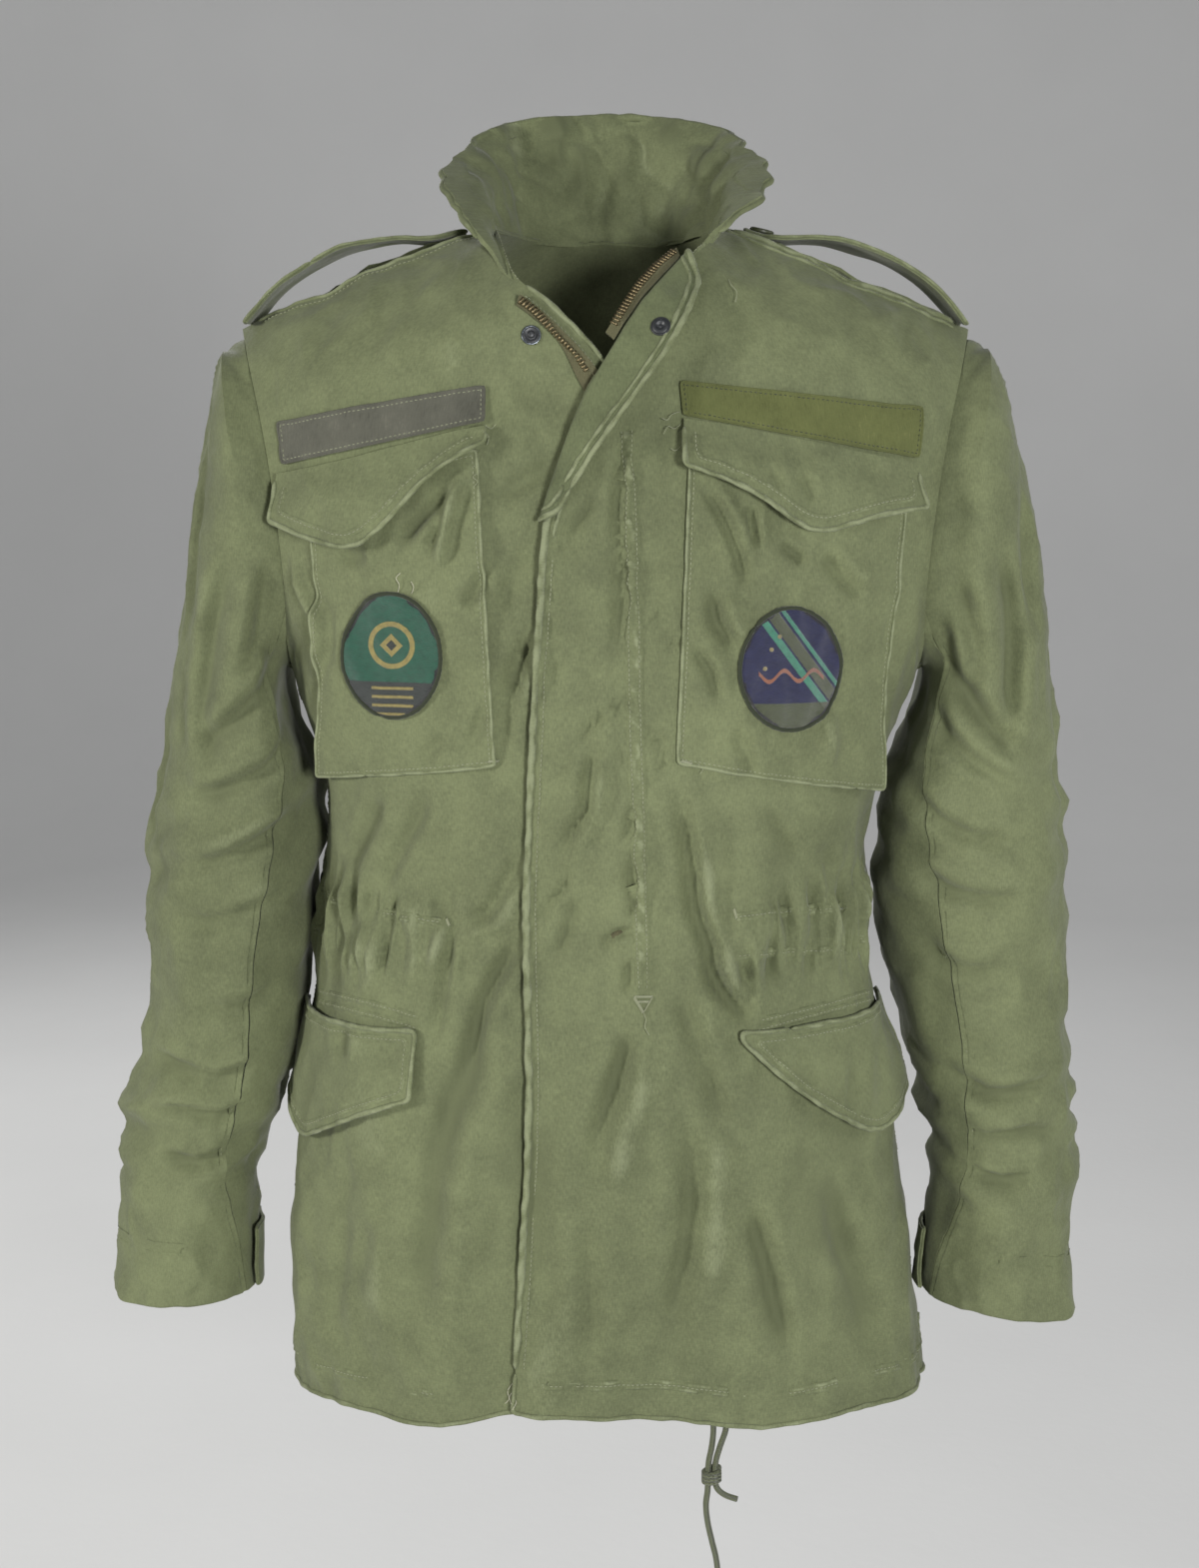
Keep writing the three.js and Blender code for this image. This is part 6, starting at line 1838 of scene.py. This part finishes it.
class JACKET_OT_edges(bpy.types.Operator):
    """Rolled and twice-stitched edges of the fly, lapel, neck and collar"""

    bl_idname = "jacket.edges"
    bl_label = "Front and collar edges"

    def execute(self, context):
        radius = looks().edge_radius
        fly = Sewing("fly", ("front_left", "fly_facing"))
        clear_left = away_from(("back", "collar") + SLEEVES["left"], 0.008)
        clear_right = away_from(("back", "collar") + SLEEVES["right"], 0.008)

        def free(place):
            return place.z > HEM_LINE and clear_left(place)

        def lapel(place):
            return place.z > LAPEL_LINE and free(place)

        def front(place):
            return place.z <= LAPEL_LINE and free(place)

        def bare(place):
            return place.z > LAPEL_LINE and clear_right(place)

        fly.border("front_left", free, radius * 1.35, pitch=0.0085, twist=1.6, wear=0.9)
        for line in inner_rows("front_left", 0.0062, lapel):
            fly.edge(line, radius * 0.8, pitch=0.007, twist=1.2, out=0.0002)
        fly.inside("front_left", 0.0062, front, 0.004, 0.0001, pitch=0.008)
        facing = Sewing("facing", ("fly_facing",), "facing_cloth")
        facing.border("fly_facing", everywhere, radius * 1.05, pitch=0.0085, twist=1.5, wear=0.9)
        for line in inner_rows("fly_facing", 0.005):
            facing.edge(line, radius * 0.75, pitch=0.007, twist=1.2, out=0.0001)
        facing.make()
        fly.make()
        under = Sewing("under_front", ("front_right",))
        under.border("front_right", bare, radius, pitch=0.008, twist=1.3, wear=0.85)
        under.inside("front_right", 0.006, bare, 0.005, 0.0003)
        under.make()
        collar = Sewing("collar", ("collar",))
        top = away_from(BODY, 0.007)
        collar.border("collar", top, radius * 1.5, pitch=0.0095, twist=1.5, wear=0.9)
        collar.inside("collar", 0.0075, top, 0.0065, 0.0009, pitch=0.008, wave=0.0008)
        collar.make()
        return {"FINISHED"}


class JACKET_OT_pocket_edges(bpy.types.Operator):
    """Edges and stitches of the pockets, flaps and shoulder loops"""

    bl_idname = "jacket.pocket_edges"
    bl_label = "Pocket and loop edges"

    def execute(self, context):
        radius = looks().edge_radius
        for side in ("left", "right"):
            node = f"chest_pocket_{side}"
            pocket = Sewing(node, (node,))
            pocket.border(node, everywhere, radius * 0.62, pitch=0.009, wear=1.0)
            for line in inner_rows(node, 0.0028):
                pocket.row(line)
            pocket.make()
            loose = away_from((f"tape_{side}",), 0.009)
            for node, inner in ((f"chest_flap_{side}", 0.0072), (f"hip_flap_{side}", 0.0062)):
                flap = Sewing(node, (node,))
                flap.border(node, loose, radius * 0.95, pitch=0.0085, twist=1.3, wear=0.8)
                flap.inside(node, inner, loose, 0.006, 0.0007)
                flap.make()
            node = f"epaulet_{side}"
            loop = Sewing(node, (node,))
            loop.border(node, everywhere, radius * 0.95, pitch=0.0085, twist=1.3, wear=0.95)
            loop.inside(node, 0.0065, everywhere, 0.0045, 0.0003)
            loop.make()
        return {"FINISHED"}


class JACKET_OT_trim_edges(bpy.types.Operator):
    """Woven edges of the tapes and the overlocked rims of the patches"""

    bl_idname = "jacket.trim_edges"
    bl_label = "Tape and patch edges"

    def execute(self, context):
        for side, slot in (("right", "grey_tape"), ("left", "olive_tape")):
            node = f"tape_{side}"
            tape = Sewing(node, (node,), slot)
            tape.border(node, everywhere, 0.0006, pitch=0.004, wear=1.0)
            for line in inner_rows(node, 0.0022):
                tape.row(line)
            tape.make(paint=slot, thread="dark_thread" if side == "left" else "thread")
        for side, slot in (("right", "green_patch"), ("left", "navy_patch")):
            node = f"patch_{side}"
            patch = Sewing(node, (node,), slot)
            patch.border(node, everywhere, 0.0013, pitch=0.0016, twist=0.4, flat=0.9, wear=0.0)
            patch.make(paint="dark_thread")
        return {"FINISHED"}


# Fastenings

DISC_SIDES = 32
# A disc's steps: how far each insets its face, and how far it then moves it up
STUD_STEPS = ((0.0008, 0.0003), (0.0010, -0.0005), (0.0011, 0), (0.0002, 0.0018), (0.0009, 0.0004))
SOCKET_STEPS = ((0.0012, 0.0003), (0.0010, 0.0002), (0.0010, -0.0009), (0.0008, -0.0004), (0.0006, 0.0004))
RING_STEPS = ((0.0006, 0.0003), (0.0012, -0.0003))
BUTTON_STEPS = ((0.0012, 0.0006), (0.0010, 0.0), (0.0012, -0.0010), (0.0015, -0.0002))


def edit_face(obj, choose):
    """Enters edit mode with one face of a mesh selected."""
    bpy.ops.object.mode_set(mode="EDIT")
    bpy.ops.mesh.select_mode(type="FACE")
    bpy.ops.mesh.select_all(action="DESELECT")
    bpy.ops.object.mode_set(mode="OBJECT")
    choose(obj.data.polygons).select = True
    bpy.ops.object.mode_set(mode="EDIT")


def round_off(obj, width, segments):
    """Bevels the sharp edges of a mesh and shades it smooth."""
    rounded = obj.modifiers.new("rounded", "BEVEL")
    rounded.width = width
    rounded.segments = segments
    bpy.ops.object.modifier_apply(modifier="rounded")
    bpy.ops.object.shade_smooth_by_angle(angle=math.radians(40))


def turned_disc(name, radius, depth, steps, paint, bevel=0.0003):
    """A round piece built up from a disc: each step insets its face and moves it up or down."""
    bpy.ops.object.select_all(action="DESELECT")
    bpy.ops.mesh.primitive_cylinder_add(
        vertices=DISC_SIDES, radius=radius, depth=depth, location=(0, 0, depth / 2)
    )
    obj = bpy.context.active_object
    obj.name = name
    obj.data.name = name
    bpy.ops.object.transform_apply(location=True, rotation=True, scale=True)
    edit_face(obj, lambda faces: max(faces, key=lambda face: face.center.z))
    for inset, lift in steps:
        bpy.ops.mesh.inset(thickness=inset, depth=0)
        bpy.ops.transform.translate(value=(0, 0, lift))
    bpy.ops.object.mode_set(mode="OBJECT")
    round_off(obj, bevel, 2)
    obj.data.materials.append(paint)
    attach(obj, "root")
    return obj


def seat(obj, place, normal):
    """Turns a piece's mesh to face along a normal and moves it to its place."""
    turn = normal.to_track_quat("Z", "Y").to_matrix().to_4x4()
    turn.translation = place
    obj.data.transform(turn)
    obj.data.update()


def middle_of(node):
    low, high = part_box(node)
    return (Vector(low) + Vector(high)) / 2


class JACKET_OT_snaps(bpy.types.Operator):
    """The neck snap: a stud on the right front and a socket on the turned-back left front"""

    bl_idname = "jacket.snaps"
    bl_label = "Neck snap"

    def execute(self, context):
        for side, cloths, steps, metal in (
            ("right", ("front_right",), STUD_STEPS, "bare_metal"),
            ("left", ("front_left", "fly_facing"), SOCKET_STEPS, "black_metal"),
        ):
            node = f"snap_{side}"
            found, normal, _ = Skin(cloths).nearest(middle_of(node) + Vector((0, -0.004, 0)))
            if normal.y > 0:
                normal = -normal
            ring = turned_disc(f"snap_ring_{side}", 0.0063, 0.0009, RING_STEPS, finish[metal])
            seat(ring, found, normal)
            disc = turned_disc(f"{node}_disc", 0.0052, 0.0012, steps, finish["black_metal"])
            seat(disc, found + normal * 0.0003, normal)
            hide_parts(node)
        return {"FINISHED"}


class JACKET_OT_buttons(bpy.types.Operator):
    """Four-hole buttons on the shoulder loops, sewn on with crossed thread"""

    bl_idname = "jacket.buttons"
    bl_label = "Loop buttons"

    def execute(self, context):
        for side in ("left", "right"):
            node = f"epaulet_button_{side}"
            found, normal, _ = Skin([f"epaulet_{side}"]).nearest(middle_of(node) + Vector((0, 0, 0.01)))
            if normal.z < 0:
                normal = -normal
            button = turned_disc(
                f"{node}_disc", 0.0082, 0.0018, BUTTON_STEPS, finish["button"], 0.0004
            )
            seat(button, found + normal * 0.0002, normal)
            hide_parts(node)
            pile = Pile()
            first = normal.cross(Vector((0, 1, 0))).normalized()
            second = normal.cross(first).normalized()
            base = found + normal * 0.0016
            for a, b in ((1, 1), (1, -1)):
                way = (first * a + second * b).normalized() * 0.0021
                for k in (-1, 0, 1):
                    aside = way.cross(normal).normalized() * (0.00035 * k)
                    strand(pile, [base - way + aside, base - way * 0.5 + aside + normal * 0.0004,
                                  base + way * 0.5 + aside + normal * 0.0004, base + way + aside], 0.0002)
            pile.make(f"button_thread_{side}", finish["thread"], "olive_button")
        return {"FINISHED"}


# Rows of teeth on the camera's picture, in its pixels
ZIP_ROWS = {
    "zip_right": [(522, 301), (535, 310), (547, 323), (560, 338), (575, 353), (590, 372)],
    "zip_left": [(674, 252), (657, 266), (641, 283), (626, 305), (613, 326)],
}
# Where a tooth narrows, in metres: reach across the tape, half width and height
TOOTH = (
    (-0.0024, 0.0006, 0.0012), (0.0006, 0.00065, 0.0016), (0.002, 0.0008, 0.0015), (0.0026, 0.0005, 0.0008),
)
TOOTH_PITCH = 0.0026


def tooth(pile, place, along, across, out):
    """One tooth: a small block with a narrower head."""
    start = len(pile.points)
    for reach, half, high in TOOTH:
        for a, b in ((-1, -0.4), (1, -0.4), (1, 1), (-1, 1)):
            pile.points.append(place + across * reach + along * (a * half) + out * (b * high))
    pile.tube(start, len(TOOTH))


class JACKET_OT_zip(bpy.types.Operator):
    """Brass teeth along both open ends of the zip, and its slider"""

    bl_idname = "jacket.zip"
    bl_label = "Zip"

    def execute(self, context):
        for node, line in ZIP_ROWS.items():
            skin = Skin([node])
            pile = Pile()
            path = front_path(skin, line)
            if len(path) < 5:
                raise RuntimeError(f"{node} isn't under its row of teeth")
            for place, normal, across, along in frames(ease(even_path(path, TOOTH_PITCH), 2)):
                side = across if node == "zip_right" else -across
                tooth(pile, place, along, side, normal)
            pile.make(f"teeth_{node}", finish["brass"], "zip_brass")
        bpy.ops.object.select_all(action="DESELECT")
        bpy.ops.mesh.primitive_cube_add(size=1, location=middle_of("zip_slider"))
        slider = bpy.context.active_object
        slider.name = "slider_body"
        slider.data.name = "slider_body"
        bpy.ops.transform.resize(value=(0.0085, 0.0028, 0.0095))
        bpy.ops.object.transform_apply(location=True, rotation=True, scale=True)
        edit_face(slider, lambda faces: min(faces, key=lambda face: face.center.z))
        bpy.ops.transform.resize(value=(0.62, 1, 1))
        edit_face(slider, lambda faces: min(faces, key=lambda face: face.center.y))
        bpy.ops.mesh.inset(thickness=0.0022, depth=0.0008)
        bpy.ops.object.mode_set(mode="OBJECT")
        round_off(slider, 0.0006, 3)
        slider.data.materials.append(finish["brass"])
        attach(slider, "root")
        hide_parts("zip_slider")
        return {"FINISHED"}


# Places on the camera's picture in its pixels, and how far the thread stands off there in millimetres
LOOSE_OLIVE = (
    [(729, 280, 0), (731, 288, 3), (736, 296, 4), (735, 305, 3)],
    [(680, 412, 0), (672, 415, 3), (666, 421, 4), (660, 419, 4)],
    [(681, 425, 0), (675, 430, 3), (667, 428, 4), (662, 436, 4)],
    [(682, 446, 0), (676, 452, 3), (670, 450, 3)],
    [(486, 426, 0), (492, 430, 2), (497, 426, 3)],
    [(484, 432, 0), (489, 438, 2), (487, 446, 3)],
    [(643, 1012, 0), (646, 1020, 1.5), (645, 1028, 2), (649, 1036, 2)],
    [(474, 466, 0), (478, 472, 1), (473, 477, 1), (478, 482, 1), (474, 487, 0)],
    [(698, 764, 0), (703, 769, 2), (699, 774, 3)],
)
LOOSE_PALE = (
    [(398, 594, 0), (401, 586, 2), (398, 579, 3), (402, 574, 3)],
    [(412, 594, 0), (415, 588, 2), (413, 582, 3)],
    [(513, 1384, 0), (509, 1390, 2), (511, 1397, 3), (507, 1402, 3)],
    [(515, 1390, 0), (511, 1396, 2), (514, 1403, 3)],
    [(514, 1397, 0), (518, 1402, 2), (515, 1409, 3)],
)
TACK_SHIFT = 0.0004
TACKS = (
    [(634, 998), (652, 998)], [(634, 999), (643, 1014)],
    [(652, 999), (643, 1014)], [(637, 1003), (649, 1003)],
    [(488, 762), (499, 762)], [(681, 762), (692, 765)], [(734, 910), (737, 920)], [(446, 920), (449, 928)],
)


class JACKET_OT_threads(bpy.types.Operator):
    """Tacks at the ends of seams and the loose threads that wear has pulled out"""

    bl_idname = "jacket.threads"
    bl_label = "Tacks and loose threads"

    def execute(self, context):
        skin = Skin(BODY + POCKETS + TRIM + ("fly_facing", "collar"))
        for name, lines, paint, radius in (
            ("loose_threads", LOOSE_OLIVE, "thread", 0.00022),
            ("frayed_threads", LOOSE_PALE, "white_thread", 0.0002),
        ):
            pile = Pile()
            for line in lines:
                places = []
                for u, v, out in line:
                    hit = skin.seen(u, v)
                    if hit:
                        way = hit[1] if hit[1].y < 0 else -hit[1]
                        places.append(hit[0] + way * (0.0004 + out * MM))
                if len(places) > 2:
                    strand(pile, curve_points(places, 0.0008), radius, 4)
            pile.make(name, finish[paint], "olive_cloth")
        pile = Pile()
        for line in TACKS:
            path = front_path(skin, line)
            if len(path) < 2:
                continue
            path = even_path(path, 0.0008)
            for k in range(3):
                shift = Vector((1, 0, 1)) * (TACK_SHIFT * k)
                strand(pile, [place + normal * 0.0005 + shift for place, normal in path], 0.0003, 4)
        pile.make("tacks", finish["thread"], "olive_cloth")
        return {"FINISHED"}


OPERATORS = (
    JACKET_OT_stage,
    JACKET_OT_cords,
    JACKET_OT_cut_body,
    JACKET_OT_cut_sleeves,
    JACKET_OT_cut_collar,
    JACKET_OT_cut_pockets,
    JACKET_OT_cut_loops,
    JACKET_OT_cut_trim,
    JACKET_OT_press_folds,
    JACKET_OT_body_seams,
    JACKET_OT_sleeve_seams,
    JACKET_OT_edges,
    JACKET_OT_pocket_edges,
    JACKET_OT_trim_edges,
    JACKET_OT_snaps,
    JACKET_OT_buttons,
    JACKET_OT_zip,
    JACKET_OT_threads,
)


class JACKET_PT_panel(bpy.types.Panel):
    """Lists the jacket's pieces in the order that they are made"""

    bl_idname = "JACKET_PT_panel"
    bl_label = "Field jacket"
    bl_space_type = "VIEW_3D"
    bl_region_type = "UI"
    bl_category = "Jacket"

    def draw(self, context):
        chosen = context.scene.jacket_looks
        for name in JacketLooks.__annotations__:
            self.layout.prop(chosen, name)
        for operator in OPERATORS:
            self.layout.operator(operator.bl_idname)


CLASSES = (JacketLooks, *OPERATORS, JACKET_PT_panel)


def register():
    for made in CLASSES:
        bpy.utils.register_class(made)
    bpy.types.Scene.jacket_looks = bpy.props.PointerProperty(type=JacketLooks)


def unregister():
    del bpy.types.Scene.jacket_looks
    for made in reversed(CLASSES):
        bpy.utils.unregister_class(made)


def main():
    register()
    for operator in OPERATORS:
        group, call = operator.bl_idname.split(".")
        getattr(getattr(bpy.ops, group), call)()


if __name__ == "__main__":
    main()
